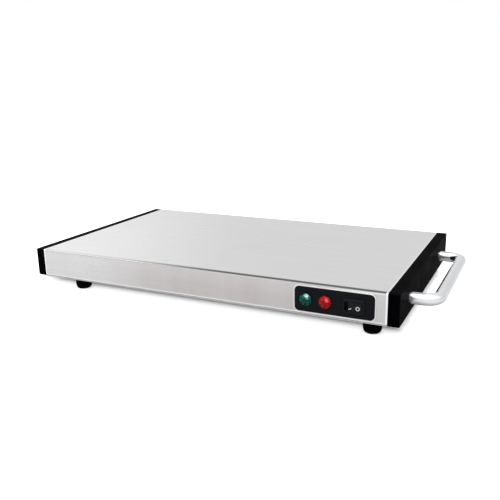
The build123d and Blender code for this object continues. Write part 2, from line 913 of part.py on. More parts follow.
# Rocker switch: housing with its bezel, rocker on two trunnions, bridge and two tags
opening_half = rocker_reach + rocker_end_gap
opening_height = rocker_height + 2 * rocker_side_gap
well_depth = rocker_pivot_depth + rocker_reach
with BuildPart() as switch_housing:
    with BuildSketch(facing_front(switch_x, panel_face_y, switch_z)):
        RectangleRounded(bezel_length, bezel_height, bezel_corner)
    extrude(amount=bezel_proud)
    bezel_edges = switch_housing.edges().filter_by_position(
        Axis.Y, bezel_face_y - pick_margin, bezel_face_y + pick_margin
    )
    chamfer(bezel_edges, bezel_proud / 3)
    with Locations(facing_front(switch_x, panel_face_y, switch_z)):
        Box(
            switch_body_length,
            switch_body_height,
            switch_body_depth,
            align=(Align.CENTER, Align.CENTER, Align.MAX),
        )
    with Locations(facing_front(switch_x, bezel_face_y, switch_z)):
        Box(
            2 * opening_half,
            opening_height,
            2 * well_depth,
            mode=Mode.SUBTRACT,
        )
    with Locations((switch_x, pivot_y, switch_z)):
        Cylinder(
            trunnion_radius + trunnion_gap,
            rocker_height + 2 * trunnion_length + 2 * rocker_side_gap,
            mode=Mode.SUBTRACT,
        )
    for side in (-1, 1):
        tag_x = switch_x + side * switch_tag_spread
        with Locations(facing_front(tag_x, panel_face_y, switch_z)):
            Box(
                switch_tag_thickness,
                switch_tag_width,
                3 * switch_body_depth,
                mode=Mode.SUBTRACT,
            )
switch_housing.part.label = "switch_housing"
export_step(switch_housing.part, "parts/switch_housing.step")

# The rocker has two flat wings that fall away from its middle. At rest its left side is
# pressed in and its right wing lies level with the bezel.
rest_turn = -rocker_half_angle
ridge_rise = (rocker_pivot_depth + rocker_proud) / math.cos(math.radians(rocker_half_angle))
wing_fall = rocker_reach * math.tan(math.radians(rocker_half_angle))
pivot_plane = Plane(origin=(switch_x, pivot_y, switch_z), x_dir=(1, 0, 0), z_dir=(0, 0, 1))
with BuildPart() as switch_rocker:
    with BuildSketch(pivot_plane.offset(-rocker_height / 2).rotated((0, 0, rest_turn))):
        Circle(rocker_reach)
        with BuildLine():
            Polyline(
                (-rocker_reach, rocker_underside),
                (rocker_reach, rocker_underside),
                (rocker_reach, wing_fall - ridge_rise),
                (0, -ridge_rise),
                (-rocker_reach, wing_fall - ridge_rise),
                close=True,
            )
        make_face(mode=Mode.INTERSECT)
    extrude(amount=rocker_height)
    with Locations((switch_x, pivot_y, switch_z)):
        Cylinder(trunnion_radius, rocker_height + 2 * trunnion_length)
switch_rocker.part.label = "switch_rocker"
export_step(switch_rocker.part, "parts/switch_rocker.step")

with BuildPart() as switch_bridge:
    with BuildSketch(pivot_plane.offset(-bridge_width / 2).rotated((0, 0, rest_turn))):
        with Locations((0, rocker_underside)):
            Rectangle(
                2 * (switch_tag_spread + switch_tag_thickness),
                bridge_thickness,
                align=(Align.CENTER, Align.MIN),
            )
    extrude(amount=bridge_width)
switch_bridge.part.label = "switch_bridge"
export_step(switch_bridge.part, "parts/switch_bridge.step")

housing_back_y = panel_face_y + switch_body_depth
lowest_bridge = (rocker_underside + bridge_thickness) / math.cos(math.radians(rocker_half_angle))
bridge_swing = (switch_tag_spread + switch_tag_thickness) * math.tan(
    math.radians(rocker_half_angle)
)
tag_tip_y = pivot_y + lowest_bridge + bridge_swing + contact_gap
with BuildPart() as switch_tags:
    for side in (-1, 1):
        tag_x = switch_x + side * switch_tag_spread
        with Locations(facing_rear(tag_x, tag_tip_y, switch_z)):
            Box(
                switch_tag_thickness,
                switch_tag_width,
                housing_back_y - tag_tip_y + switch_tag_length,
                align=(Align.CENTER, Align.CENTER, Align.MIN),
            )
switch_tags.part.label = "switch_tags"
export_step(switch_tags.part, "parts/switch_tags.step")


# Mains inlet in the rear wall
with BuildPart() as power_inlet:
    with BuildSketch(facing_rear(inlet_x, rear_y, inlet_z)):
        RectangleRounded(inlet_flange_length, inlet_flange_height, inlet_flange_corner)
        with GridLocations(inlet_screw_pitch, 0, 2, 1):
            Circle(m3_diameter / 2 + hole_gap, mode=Mode.SUBTRACT)
    extrude(amount=inlet_flange_thickness)
    rim_edges = power_inlet.edges().filter_by_position(
        Axis.Y, inlet_face_y - pick_margin, inlet_face_y + pick_margin
    )
    fillet(rim_edges, inlet_flange_thickness / 4)
    with BuildSketch(facing_rear(inlet_x, rear_y - inlet_body_depth, inlet_z)) as body_outline:
        Rectangle(inlet_body_length, inlet_body_height)
        chamfer(body_outline.vertices().group_by(Axis.Y)[-1], inlet_body_chamfer)
    extrude(amount=inlet_body_depth)
    with BuildSketch(facing_rear(inlet_x, inlet_face_y, inlet_z)) as socket_mouth:
        Rectangle(inlet_socket_length, inlet_socket_height)
        chamfer(socket_mouth.vertices().group_by(Axis.Y)[-1], inlet_socket_chamfer)
    extrude(amount=-inlet_socket_depth, mode=Mode.SUBTRACT)
    with Locations(*[facing_rear(x, inlet_face_y, z) for x, z in inlet_pin_points]):
        Box(pin_width, pin_height, 3 * inlet_body_depth, mode=Mode.SUBTRACT)
power_inlet.part.label = "power_inlet"
export_step(power_inlet.part, "parts/power_inlet.step")

socket_floor_y = inlet_face_y - inlet_socket_depth
inlet_back_y = rear_y - inlet_body_depth
inlet_floor = socket_floor_y - inlet_back_y
with BuildPart() as inlet_pins:
    for x, z in inlet_pin_points:
        with Locations(facing_rear(x, inlet_back_y, z)):
            Box(
                pin_width,
                pin_height,
                inlet_floor + pin_length,
                align=(Align.CENTER, Align.CENTER, Align.MIN),
            )
            Box(
                inlet_tag_thickness,
                inlet_tag_width,
                inlet_tag_length,
                align=(Align.CENTER, Align.CENTER, Align.MAX),
            )
inlet_pins.part.label = "inlet_pins"
export_step(inlet_pins.part, "parts/inlet_pins.step")

inlet_screw_columns = (inlet_x - inlet_screw_pitch / 2, inlet_x + inlet_screw_pitch / 2)
with BuildPart() as inlet_fixings:
    for x in inlet_screw_columns:
        add_nut(facing_front(x, rear_y - sheet, inlet_z), m3_diameter, m3_nut_width, m3_nut_height)
    for x in inlet_screw_columns:
        add_screw(
            facing_rear(x, inlet_face_y, inlet_z),
            m3_diameter,
            inlet_flange_thickness + sheet + m3_nut_height + stud_tail,
            m3_head_radius,
            m3_head_height,
        )
inlet_fixings.part.label = "inlet_fixings"
export_step(inlet_fixings.part, "parts/inlet_fixings.step")


# Heat spreader under the top, and the tubular element clamped to it
element_rows = [element_front + row * element_pitch for row in range(4)]
clamp_x = [element_left + share * (element_right - element_left) for share in clamp_columns]
clamp_reach = element_diameter / 2 + clamp_gap + sheet + clamp_foot / 2
clamp_screw_points = [
    (x, y + side * clamp_reach) for x in clamp_x for y in element_rows for side in (-1, 1)
]
bracket_reach = thermostat_flange_radius + fit_gap + sheet + clamp_foot / 2
bracket_screw_points = [
    (thermostat_x, thermostat_y + side * bracket_reach) for side in (-1, 1)
]
clip_reach = fuse_radius + clamp_gap + clip_thickness + clip_foot / 2
clip_screw_points = [(thermostat_x + side * clip_reach, fuse_y) for side in (-1, 1)]
plate_screw_points = clamp_screw_points + bracket_screw_points + clip_screw_points
plate_screw_grip = spreader_thickness - 2 * thread_gap
with BuildPart() as heat_spreader:
    with BuildSketch(Plane.XY.offset(spreader_z)):
        with Locations(((spreader_left + spreader_right) / 2, centre_y)):
            Rectangle(spreader_right - spreader_left, spreader_depth)
    extrude(amount=spreader_thickness)
    cut_holes(stud_points, spreader_z, stud_diameter / 2 + stud_hole_gap, 4 * spreader_thickness)
    cut_holes(
        plate_screw_points, spreader_z, m3_diameter / 2 + thread_gap, 2 * plate_screw_grip
    )
heat_spreader.part.label = "heat_spreader"
export_step(heat_spreader.part, "parts/heat_spreader.step")

with BuildPart() as heating_element:
    with BuildLine() as element_path:
        Line((element_end, element_rows[0], element_z), (element_left, element_rows[0], element_z))
        ThreePointArc(
            (element_left, element_rows[0], element_z),
            (element_left - element_pitch / 2, element_rows[0] + element_pitch / 2, element_z),
            (element_left, element_rows[1], element_z),
        )
        Line((element_left, element_rows[1], element_z), (element_right, element_rows[1], element_z))
        ThreePointArc(
            (element_right, element_rows[1], element_z),
            (element_right + element_pitch / 2, element_rows[1] + element_pitch / 2, element_z),
            (element_right, element_rows[2], element_z),
        )
        Line((element_right, element_rows[2], element_z), (element_left, element_rows[2], element_z))
        ThreePointArc(
            (element_left, element_rows[2], element_z),
            (element_left - element_pitch / 2, element_rows[2] + element_pitch / 2, element_z),
            (element_left, element_rows[3], element_z),
        )
        Line((element_left, element_rows[3], element_z), (element_end, element_rows[3], element_z))
    with BuildSketch(facing_left(element_end, element_rows[0], element_z)):
        Circle(element_diameter / 2)
    sweep(path=element_path.line)
heating_element.part.label = "heating_element"
export_step(heating_element.part, "parts/heating_element.step")

element_ends = (element_rows[0], element_rows[3])
with BuildPart() as element_bushes:
    for y in element_ends:
        add_ring(facing_right(element_end, y, element_z), element_diameter / 2, bush_bore, bush_length)
element_bushes.part.label = "element_bushes"
export_step(element_bushes.part, "parts/element_bushes.step")

with BuildPart() as element_pins:
    for y in element_ends:
        with Locations(facing_right(element_end, y, element_z)):
            Cylinder(pin_radius, bush_length + pin_reach, align=(Align.CENTER, Align.CENTER, Align.MIN))
element_pins.part.label = "element_pins"
export_step(element_pins.part, "parts/element_pins.step")


def draw_saddle(across, roof, radius, thickness, foot):
    """Section of a strap that holds a round thing of the radius against the roof above it."""
    outer = radius + clamp_gap + thickness
    inner = radius + clamp_gap
    with Locations((across, roof - radius)):
        Circle(outer)
        Rectangle(2 * outer, outer, align=(Align.CENTER, Align.MIN), mode=Mode.SUBTRACT)
        Rectangle(2 * outer, radius, align=(Align.CENTER, Align.MIN))
    with Locations((across, roof)):
        Rectangle(2 * (outer + foot), thickness, align=(Align.CENTER, Align.MAX))
    with Locations((across, roof - radius)):
        Circle(inner, mode=Mode.SUBTRACT)
        Rectangle(2 * inner, radius, align=(Align.CENTER, Align.MIN), mode=Mode.SUBTRACT)


with BuildPart() as element_clamps:
    for x in clamp_x:
        with BuildSketch(Plane.YZ.offset(x - clamp_width / 2)):
            for y in element_rows:
                draw_saddle(y, spreader_z, element_diameter / 2, sheet, clamp_foot)
        extrude(amount=clamp_width)
    cut_holes(clamp_screw_points, spreader_z, m3_diameter / 2 + hole_gap, 4 * sheet)
element_clamps.part.label = "element_clamps"
export_step(element_clamps.part, "parts/element_clamps.step")

with BuildPart() as clamp_screws:
    for x, y in clamp_screw_points:
        add_screw(
            facing_down(x, y, spreader_z - sheet),
            m3_diameter,
            sheet + plate_screw_grip,
            m3_head_radius,
            m3_head_height,
        )
clamp_screws.part.label = "clamp_screws"
export_step(clamp_screws.part, "parts/clamp_screws.step")


# Studs welded under the top, with the stack of reflector, mat and tray that they carry
with BuildPart() as weld_studs:
    with Locations(*[(x, y, stud_end_z) for x, y in stud_points]):
        Cylinder(
            stud_diameter / 2,
            ceiling_z - stud_end_z,
            align=(Align.CENTER, Align.CENTER, Align.MIN),
        )
weld_studs.part.label = "weld_studs"
export_step(weld_studs.part, "parts/weld_studs.step")

with BuildPart() as stud_nuts:
    for x, y in stud_points:
        for seat_z in (spreader_z, tray_z):
            add_nut(facing_down(x, y, seat_z), stud_diameter, m4_nut_width, m4_nut_height)
stud_nuts.part.label = "stud_nuts"
export_step(stud_nuts.part, "parts/stud_nuts.step")

stud_bore = stud_diameter / 2 + stud_hole_gap
with BuildPart() as stud_spacers:
    for x, y in stud_points:
        add_ring(facing_up(x, y, reflector_top), spacer_radius, stud_bore, upper_spacer)
        add_ring(facing_up(x, y, mat_z), spacer_radius, stud_bore, mat_thickness)
stud_spacers.part.label = "stud_spacers"
export_step(stud_spacers.part, "parts/stud_spacers.step")

stack_x = (reflector_left + reflector_right) / 2
stack_length = reflector_right - reflector_left
with BuildPart() as reflector_sheet:
    with BuildSketch(Plane.XY.offset(reflector_z)):
        with Locations((stack_x, centre_y)):
            Rectangle(stack_length, reflector_depth)
    extrude(amount=thin_sheet)
    cut_holes(stud_points, reflector_z, stud_bore, 4 * thin_sheet)
reflector_sheet.part.label = "reflector_sheet"
export_step(reflector_sheet.part, "parts/reflector_sheet.step")

with BuildPart() as insulation_mat:
    with BuildSketch(Plane.XY.offset(mat_z)):
        with Locations((stack_x, centre_y)):
            RectangleRounded(stack_length, reflector_depth, spacer_radius)
    extrude(amount=mat_thickness)
    cut_holes(stud_points, mat_z, spacer_radius + hole_gap, 4 * mat_thickness)
insulation_mat.part.label = "insulation_mat"
export_step(insulation_mat.part, "parts/insulation_mat.step")

with BuildPart() as mat_tray:
    with BuildSketch(Plane.XY.offset(tray_z)):
        with Locations((stack_x, centre_y)):
            Rectangle(stack_length, reflector_depth)
            with GridLocations(tray_hole_pitch, tray_hole_pitch, 5, 4):
                Circle(tray_hole_radius, mode=Mode.SUBTRACT)
    extrude(amount=thin_sheet)
    cut_holes(stud_points, tray_z, stud_bore, 4 * thin_sheet)
mat_tray.part.label = "mat_tray"
export_step(mat_tray.part, "parts/mat_tray.step")


# Wall between the hot side and the electrics
shield_upper = body_depth - 2 * sheet - 2 * shield_side_gap
shield_lower = body_depth - 2 * flange_width - 2 * shield_side_gap
shield_lift = flange_top_z + shield_bottom_gap
with BuildPart() as heat_shield:
    with BuildSketch(Plane.YZ.offset(shield_x)):
        with Locations((centre_y, shield_lift)):
            Rectangle(
                shield_upper,
                ceiling_z - shield_top_gap - shield_lift,
                align=(Align.CENTER, Align.MIN),
            )
        with Locations((centre_y, floor_z)):
            Rectangle(shield_lower, shield_lift - floor_z, align=(Align.CENTER, Align.MIN))
        with Locations(*[(y, element_z) for y in element_ends]):
            Circle(element_diameter / 2 + hole_gap, mode=Mode.SUBTRACT)
        with Locations(*wire_windows):
            Circle(wire_window_radius, mode=Mode.SUBTRACT)
    extrude(amount=sheet)
    with Locations((shield_x + sheet, centre_y, floor_z)):
        Box(shield_foot, shield_lower, sheet, align=(Align.MIN, Align.CENTER, Align.MIN))
    cut_holes(rivet_points, floor_z, rivet_radius + thread_gap, 4 * sheet)
heat_shield.part.label = "heat_shield"
export_step(heat_shield.part, "parts/heat_shield.step")

with BuildPart() as shield_rivets:
    for x, y in rivet_points:
        with Locations((x, y, base_z)):
            Cylinder(rivet_radius, 2 * sheet, align=(Align.CENTER, Align.CENTER, Align.MIN))
            Cylinder(
                rivet_head_radius,
                rivet_head_height,
                align=(Align.CENTER, Align.CENTER, Align.MAX),
            )
        with Locations((x, y, base_z + 2 * sheet)):
            Cylinder(
                rivet_head_radius,
                rivet_head_height,
                align=(Align.CENTER, Align.CENTER, Align.MIN),
            )
shield_rivets.part.label = "shield_rivets"
export_step(shield_rivets.part, "parts/shield_rivets.step")

grommet_bore = wire_window_radius - grommet_wall
shield_middle_x = shield_x + sheet / 2
with BuildPart() as shield_grommets:
    for y, z in wire_windows:
        with Locations(facing_right(shield_middle_x, y, z)):
            Cylinder(wire_window_radius, sheet)
            for side in (-1, 1):
                with Locations((0, 0, side * (sheet + grommet_lip) / 2)):
                    Cylinder(wire_window_radius + grommet_wall, grommet_lip)
            Cylinder(grommet_bore, 4 * grommet_lip, mode=Mode.SUBTRACT)
shield_grommets.part.label = "shield_grommets"
export_step(shield_grommets.part, "parts/shield_grommets.step")


# Bimetal thermostat held to the spreader by a formed bracket
cup_bottom_z = spreader_z - thermostat_cup_height
body_bottom_z = cup_bottom_z - thermostat_body_height
thermostat_tag_z = body_bottom_z + thermostat_body_height / 3
thermostat_root = thermostat_radius - thermostat_tag_grip
with BuildPart() as thermostat_cup:
    with Locations((thermostat_x, thermostat_y, cup_bottom_z)):
        Cylinder(
            thermostat_radius, thermostat_cup_height, align=(Align.CENTER, Align.CENTER, Align.MIN)
        )
        Cylinder(
            thermostat_flange_radius,
            thermostat_flange_height,
            align=(Align.CENTER, Align.CENTER, Align.MIN),
        )
thermostat_cup.part.label = "thermostat_cup"
export_step(thermostat_cup.part, "parts/thermostat_cup.step")

with BuildPart() as thermostat_body:
    with Locations((thermostat_x, thermostat_y, cup_bottom_z)):
        Cylinder(
            thermostat_radius, thermostat_body_height, align=(Align.CENTER, Align.CENTER, Align.MAX)
        )
    for side in (-1, 1):
        with Locations((thermostat_x, thermostat_y + side * thermostat_radius, thermostat_tag_z)):
            Box(
                thermostat_tag_width,
                2 * thermostat_tag_grip,
                inlet_tag_thickness,
                mode=Mode.SUBTRACT,
            )
thermostat_body.part.label = "thermostat_body"
export_step(thermostat_body.part, "parts/thermostat_body.step")

with BuildPart() as thermostat_tags:
    for side in (-1, 1):
        root_y = thermostat_y + side * thermostat_root
        reach = thermostat_tag_grip + thermostat_tag_reach
        with Locations((thermostat_x, root_y + side * reach / 2, thermostat_tag_z)):
            Box(thermostat_tag_width, reach, inlet_tag_thickness)
thermostat_tags.part.label = "thermostat_tags"
export_step(thermostat_tags.part, "parts/thermostat_tags.step")

bracket_inner = thermostat_flange_radius + fit_gap
with BuildPart() as thermostat_bracket:
    with BuildSketch(Plane.YZ.offset(thermostat_x - bracket_width / 2)):
        with Locations((thermostat_y, spreader_z)):
            Rectangle(
                2 * (bracket_inner + bracket_thickness + clamp_foot),
                bracket_thickness,
                align=(Align.CENTER, Align.MAX),
            )
            Rectangle(
                2 * (bracket_inner + bracket_thickness),
                thermostat_cup_height + bracket_thickness,
                align=(Align.CENTER, Align.MAX),
            )
            Rectangle(
                2 * bracket_inner,
                thermostat_cup_height,
                align=(Align.CENTER, Align.MAX),
                mode=Mode.SUBTRACT,
            )
    extrude(amount=bracket_width)
    cut_holes(
        [(thermostat_x, thermostat_y)], cup_bottom_z, thermostat_radius + fit_gap, 4 * sheet
    )
    cut_holes(bracket_screw_points, spreader_z, m3_diameter / 2 + hole_gap, 4 * sheet)
thermostat_bracket.part.label = "thermostat_bracket"
export_step(thermostat_bracket.part, "parts/thermostat_bracket.step")


# Thermal fuse in its clip, beside the thermostat
fuse_z = spreader_z - fuse_radius
with BuildPart() as thermal_fuse:
    with Locations(facing_rear(thermostat_x, fuse_y, fuse_z)):
        Cylinder(fuse_radius, fuse_length)
        Cylinder(fuse_lead_radius, fuse_length + 2 * fuse_lead_length)
thermal_fuse.part.label = "thermal_fuse"
export_step(thermal_fuse.part, "parts/thermal_fuse.step")

with BuildPart() as fuse_clip:
    with BuildSketch(facing_rear(thermostat_x, fuse_y - clip_width / 2, 0)):
        draw_saddle(0, spreader_z, fuse_radius, clip_thickness, clip_foot)
    extrude(amount=clip_width)
    cut_holes(clip_screw_points, spreader_z, m3_diameter / 2 + hole_gap, 4 * sheet)
fuse_clip.part.label = "fuse_clip"
export_step(fuse_clip.part, "parts/fuse_clip.step")


# Ceramic terminal block on the bottom plate
way_z = floor_z + block_height / 2
way_columns = [block_x + (way - 1) * block_pitch for way in range(3)]
grub_points = [(x, block_y + side * block_width / 4) for x in way_columns for side in (-1, 1)]
with BuildPart() as terminal_block:
    with Locations((block_x, block_y, floor_z)):
        Box(
            block_length,
            block_width,
            block_height,
            align=(Align.CENTER, Align.CENTER, Align.MIN),
        )
    fillet(terminal_block.edges().filter_by(Axis.Z), block_corner)
    with Locations(*[facing_rear(x, block_y, way_z) for x in way_columns]):
        Cylinder(clamp_radius, 2 * block_width, mode=Mode.SUBTRACT)
    cut_holes(block_screw_points, floor_z, m3_diameter / 2 + hole_gap, 4 * block_height)
    with Locations(*[(x, y, floor_z + block_height) for x, y in grub_points]):
        Cylinder(grub_radius + hole_gap, block_height, mode=Mode.SUBTRACT)
terminal_block.part.label = "terminal_block"
export_step(terminal_block.part, "parts/terminal_block.step")

with BuildPart() as fixing_screws:
    for x, y in block_screw_points:
        add_screw(
            facing_up(x, y, floor_z + block_height),
            m3_diameter,
            block_height + 2 * sheet,
            m3_head_radius,
            m3_head_height,
        )
    for points, strap in (
        (bracket_screw_points, bracket_thickness),
        (clip_screw_points, clip_thickness),
    ):
        for x, y in points:
            add_screw(
                facing_down(x, y, spreader_z - strap),
                m3_diameter,
                strap + plate_screw_grip,
                m3_head_radius,
                m3_head_height,
            )
fixing_screws.part.label = "fixing_screws"
export_step(fixing_screws.part, "parts/fixing_screws.step")


# Brass sleeves in the ways, and the grub screws that clamp the wires in them
grub_tip_z = way_z + clamp_bore
with BuildPart() as terminal_clamps:
    for x in way_columns:
        with Locations(facing_rear(x, block_y, way_z)):
            Cylinder(clamp_radius - thread_gap, block_width - 2 * sleeve_recess)
            Cylinder(clamp_bore, 2 * block_width, mode=Mode.SUBTRACT)
    with Locations(*[(x, y, way_z) for x, y in grub_points]):
        Cylinder(
            grub_radius + thread_gap,
            2 * block_height,
            align=(Align.CENTER, Align.CENTER, Align.MIN),
            mode=Mode.SUBTRACT,
        )
    for x, y in grub_points:
        with Locations((x, y, grub_tip_z)):
            Cylinder(grub_radius, grub_length, align=(Align.CENTER, Align.CENTER, Align.MIN))
            with Locations((0, 0, grub_length)):
                Box(2 * grub_radius, recess_width, recess_width, mode=Mode.SUBTRACT)
terminal_clamps.part.label = "terminal_clamps"
export_step(terminal_clamps.part, "parts/terminal_clamps.step")


# Earth stud through the bottom plate, with its two nuts
earth_ring_z = floor_z + m4_nut_height
with BuildPart() as earth_fixings:
    for seat_z in (floor_z, earth_ring_z + earth_ring_thickness):
        add_nut(facing_up(earth_x, earth_y, seat_z), m4_diameter, m4_nut_width, m4_nut_height)
    add_screw(
        facing_down(earth_x, earth_y, base_z),
        m4_diameter,
        sheet + 2 * m4_nut_height + earth_ring_thickness + stud_tail,
        m4_head_radius,
        m4_head_height,
    )
earth_fixings.part.label = "earth_fixings"
export_step(earth_fixings.part, "parts/earth_fixings.step")


# Push-on receptacles and crimps at the ends of the wires
def add_receptacle(root, width, thickness):
    """Insulated receptacle over a blade: the plane stands at its mouth and faces the wire."""
    with Locations(root):
        Box(
            thickness + 2 * receptacle_wall,
            width + 2 * receptacle_wall,
            receptacle_length,
            align=(Align.CENTER, Align.CENTER, Align.MIN),
        )
        Box(
            thickness + 2 * thread_gap,
            width + 2 * thread_gap,
            2 * (receptacle_length - receptacle_wall),
            mode=Mode.SUBTRACT,
        )


def add_flag(pin_x, pin_y):
    """Block crimped on an element pin, with its wire leaving downwards."""
    with Locations((pin_x, pin_y, element_z)):
        Box(flag_size, flag_size, flag_size)
    with Locations(facing_right(pin_x, pin_y, element_z)):
        Cylinder(pin_radius + thread_gap, 2 * flag_size, mode=Mode.SUBTRACT)


mouth_gap = receptacle_length - inlet_tag_length - receptacle_wall
inlet_mouth_y = inlet_back_y - mouth_gap
inlet_wire_y = inlet_mouth_y - receptacle_length
switch_mouth_y = housing_back_y + mouth_gap
switch_wire_y = switch_mouth_y + receptacle_length
lamp_mouth_y = holder_back_y + mouth_gap
lamp_wire_y = lamp_mouth_y + receptacle_length
thermostat_mouth = thermostat_radius + mouth_gap
thermostat_wire = thermostat_mouth + receptacle_length
flag_x = element_end + bush_length + pin_reach - flag_size / 2
fuse_tip = fuse_length / 2 + fuse_lead_length
with BuildPart() as wire_ends:
    for x, z in inlet_pin_points:
        add_receptacle(
            facing_front(x, inlet_mouth_y, z), inlet_tag_width, inlet_tag_thickness
        )
    for side in (-1, 1):
        add_receptacle(
            facing_rear(switch_x + side * switch_tag_spread, switch_mouth_y, switch_z),
            switch_tag_width,
            switch_tag_thickness,
        )
        mouth = Plane(
            origin=(thermostat_x, thermostat_y + side * thermostat_mouth, thermostat_tag_z),
            x_dir=(0, 0, 1),
            z_dir=(0, side, 0),
        )
        add_receptacle(mouth, thermostat_tag_width, inlet_tag_thickness)
    for lamp_x in lamp_axes:
        for side in (-1, 1):
            add_receptacle(
                facing_rear(lamp_x + side * lamp_tag_pitch / 2, lamp_mouth_y, lamp_z),
                lamp_tag_width,
                lamp_tag_thickness,
            )
    for y in element_ends:
        add_flag(flag_x, y)
    with Locations(facing_rear(thermostat_x, fuse_y, fuse_z)):
        for side in (-1, 1):
            with Locations((0, 0, side * (fuse_tip - crimp_length / 2))):
                Cylinder(crimp_radius, crimp_length)
        Cylinder(fuse_lead_radius + thread_gap, 4 * fuse_tip, mode=Mode.SUBTRACT)
    add_ring(
        facing_up(earth_x, earth_y, earth_ring_z),
        earth_ring_radius,
        m4_diameter / 2 + hole_gap,
        earth_ring_thickness,
    )
wire_ends.part.label = "wire_ends"
export_step(wire_ends.part, "parts/wire_ends.step")


def corner_radii(points):
    """Bend radius at each inner point of a wire's route, as large as its two runs allow."""
    radii = []
    for before, corner, after in zip(points, points[1:], points[2:]):
        run_in = Vector(*corner) - Vector(*before)
        run_out = Vector(*after) - Vector(*corner)
        turn = math.radians(run_in.get_angle(run_out))
        shorter = min(run_in.length, run_out.length)
        radii.append(0.45 * shorter / math.tan(turn / 2))
    return radii


def add_wire(points, radius):
    """Round wire along straight runs joined by tangent arcs."""
    with BuildLine() as path:
        FilletPolyline(*points, radius=corner_radii(points))
    start = Plane(origin=points[0], z_dir=Vector(*points[1]) - Vector(*points[0]))
    with BuildSketch(start) as section:
        Circle(radius)
    sweep(section.sketch, path=path.line)

# Routes of the wires, from one terminal to the other
live_x = inlet_x + pin_pitch
neutral_x = inlet_x - pin_pitch
blade_z = inlet_z - pin_drop
right_tag_x = switch_x + switch_tag_spread
left_tag_x = switch_x - switch_tag_spread
run_z = floor_z + high_run
low_z = floor_z + low_run
mid_z = floor_z + middle_run
window_front, window_rear = wire_windows
block_front_y = block_y - block_width / 2 + wire_insert
block_back_y = block_y + block_width / 2 - wire_insert
flag_z = element_z - flag_size / 2
tag_front_y = thermostat_y - thermostat_wire
tag_rear_y = thermostat_y + thermostat_wire

live_to_switch = [
    (live_x, inlet_wire_y, blade_z),
    (live_x, inlet_wire_y - terminal_lead, blade_z),
    (right_tag_x + live_aside, inlet_wire_y - live_rear, blade_z),
    (right_tag_x + live_aside, switch_wire_y + live_front, blade_z),
    (right_tag_x, switch_wire_y + terminal_lead, switch_z),
    (right_tag_x, switch_wire_y, switch_z),
]
switch_to_thermostat = [
    (left_tag_x, switch_wire_y, switch_z),
    (left_tag_x, switch_wire_y + switch_lead, switch_z),
    (left_tag_x - switch_aside, switch_wire_y + switch_run, run_z),
    (shield_x + window_far, window_front[0] - window_shift, run_z),
    (shield_x + window_near, window_front[0], window_front[1]),
    (shield_x - window_past, window_front[0] + window_slope, window_front[1]),
    (thermostat_x, tag_front_y - thermostat_lead, thermostat_tag_z),
    (thermostat_x, tag_front_y, thermostat_tag_z),
]
thermostat_to_fuse = [
    (thermostat_x, tag_rear_y, thermostat_tag_z),
    (thermostat_x, tag_rear_y + fuse_lead, thermostat_tag_z),
    (thermostat_x, fuse_y - fuse_tip - fuse_lead, fuse_z),
    (thermostat_x, fuse_y - fuse_tip, fuse_z),
]
fuse_to_element = [
    (thermostat_x, fuse_y + fuse_tip, fuse_z),
    (thermostat_x, fuse_y + fuse_tip + fuse_lead, fuse_z),
    (shield_x - window_past, window_rear[0], window_rear[1]),
    (shield_x + window_back, window_rear[0], window_rear[1]),
    (flag_x, element_rows[3], flag_z - flag_drop),
    (flag_x, element_rows[3], flag_z),
]
with BuildPart() as brown_wires:
    for route in (live_to_switch, switch_to_thermostat, thermostat_to_fuse, fuse_to_element):
        add_wire(route, wire_radius)
brown_wires.part.label = "brown_wires"
export_step(brown_wires.part, "parts/brown_wires.step")

neutral_to_block = [
    (neutral_x, inlet_wire_y, blade_z),
    (neutral_x, inlet_wire_y - terminal_lead, blade_z),
    (way_columns[0], block_back_y + block_rear_lead, way_z),
    (way_columns[0], block_back_y, way_z),
]
block_to_element = [
    (way_columns[0], block_front_y, way_z),
    (way_columns[0], block_front_y - block_front_lead, way_z),
    (shield_x + block_shift, element_rows[0] + block_run, mid_z),
    (flag_x, element_rows[0], flag_z - terminal_lead),
    (flag_x, element_rows[0], flag_z),
]
with BuildPart() as blue_wires:
    for route in (neutral_to_block, block_to_element):
        add_wire(route, wire_radius)
blue_wires.part.label = "blue_wires"
export_step(blue_wires.part, "parts/blue_wires.step")

earth_wire_z = earth_ring_z + earth_ring_thickness / 2
earth_route = [
    (inlet_x, inlet_wire_y, inlet_z + pin_drop),
    (inlet_x, inlet_wire_y - earth_lead, inlet_z + pin_drop),
    (inlet_x, earth_y + earth_ring_radius + earth_lead, earth_wire_z),
    (inlet_x, earth_y + earth_ring_radius, earth_wire_z),
]
with BuildPart() as earth_wire:
    add_wire(earth_route, wire_radius)
earth_wire.part.label = "earth_wire"
export_step(earth_wire.part, "parts/earth_wire.step")

lamp_drop_y = lamp_wire_y + lamp_lead
lamp_low_y = lamp_wire_y + lamp_drop
lamp_rise_y = block_front_y - lamp_climb
lamp_entry_y = block_front_y - lamp_entry
with BuildPart() as lamp_wires:
    for lamp_x, first_z, second_z in ((green_x, low_z, mid_z), (red_x, low_z, mid_z - lamp_wire_step)):
        spread = -lamp_wire_spread if lamp_x < panel_x - lamp_pitch else lamp_wire_spread
        for side, way_x, level_z in ((-1, way_columns[1], first_z), (1, way_columns[2], second_z)):
            tag_x = lamp_x + side * lamp_tag_pitch / 2
            end_x = way_x + spread
            low_x = tag_x + lamp_wire_lead * (end_x - tag_x)
            add_wire(
                [
                    (tag_x, lamp_wire_y, lamp_z),
                    (tag_x, lamp_drop_y, lamp_z),
                    (low_x, lamp_low_y, level_z),
                    (end_x, lamp_rise_y, level_z),
                    (end_x, lamp_entry_y, way_z),
                    (end_x, block_front_y, way_z),
                ],
                lamp_wire_radius,
            )
lamp_wires.part.label = "lamp_wires"
export_step(lamp_wires.part, "parts/lamp_wires.step")
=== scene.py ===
"""Studio scene of a buffet warming tray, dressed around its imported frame."""

import json
import logging
import math
from collections.abc import Callable, Sequence
from dataclasses import dataclass
from enum import Enum
from functools import reduce

import bmesh
import bpy
from mathutils import Matrix, Vector


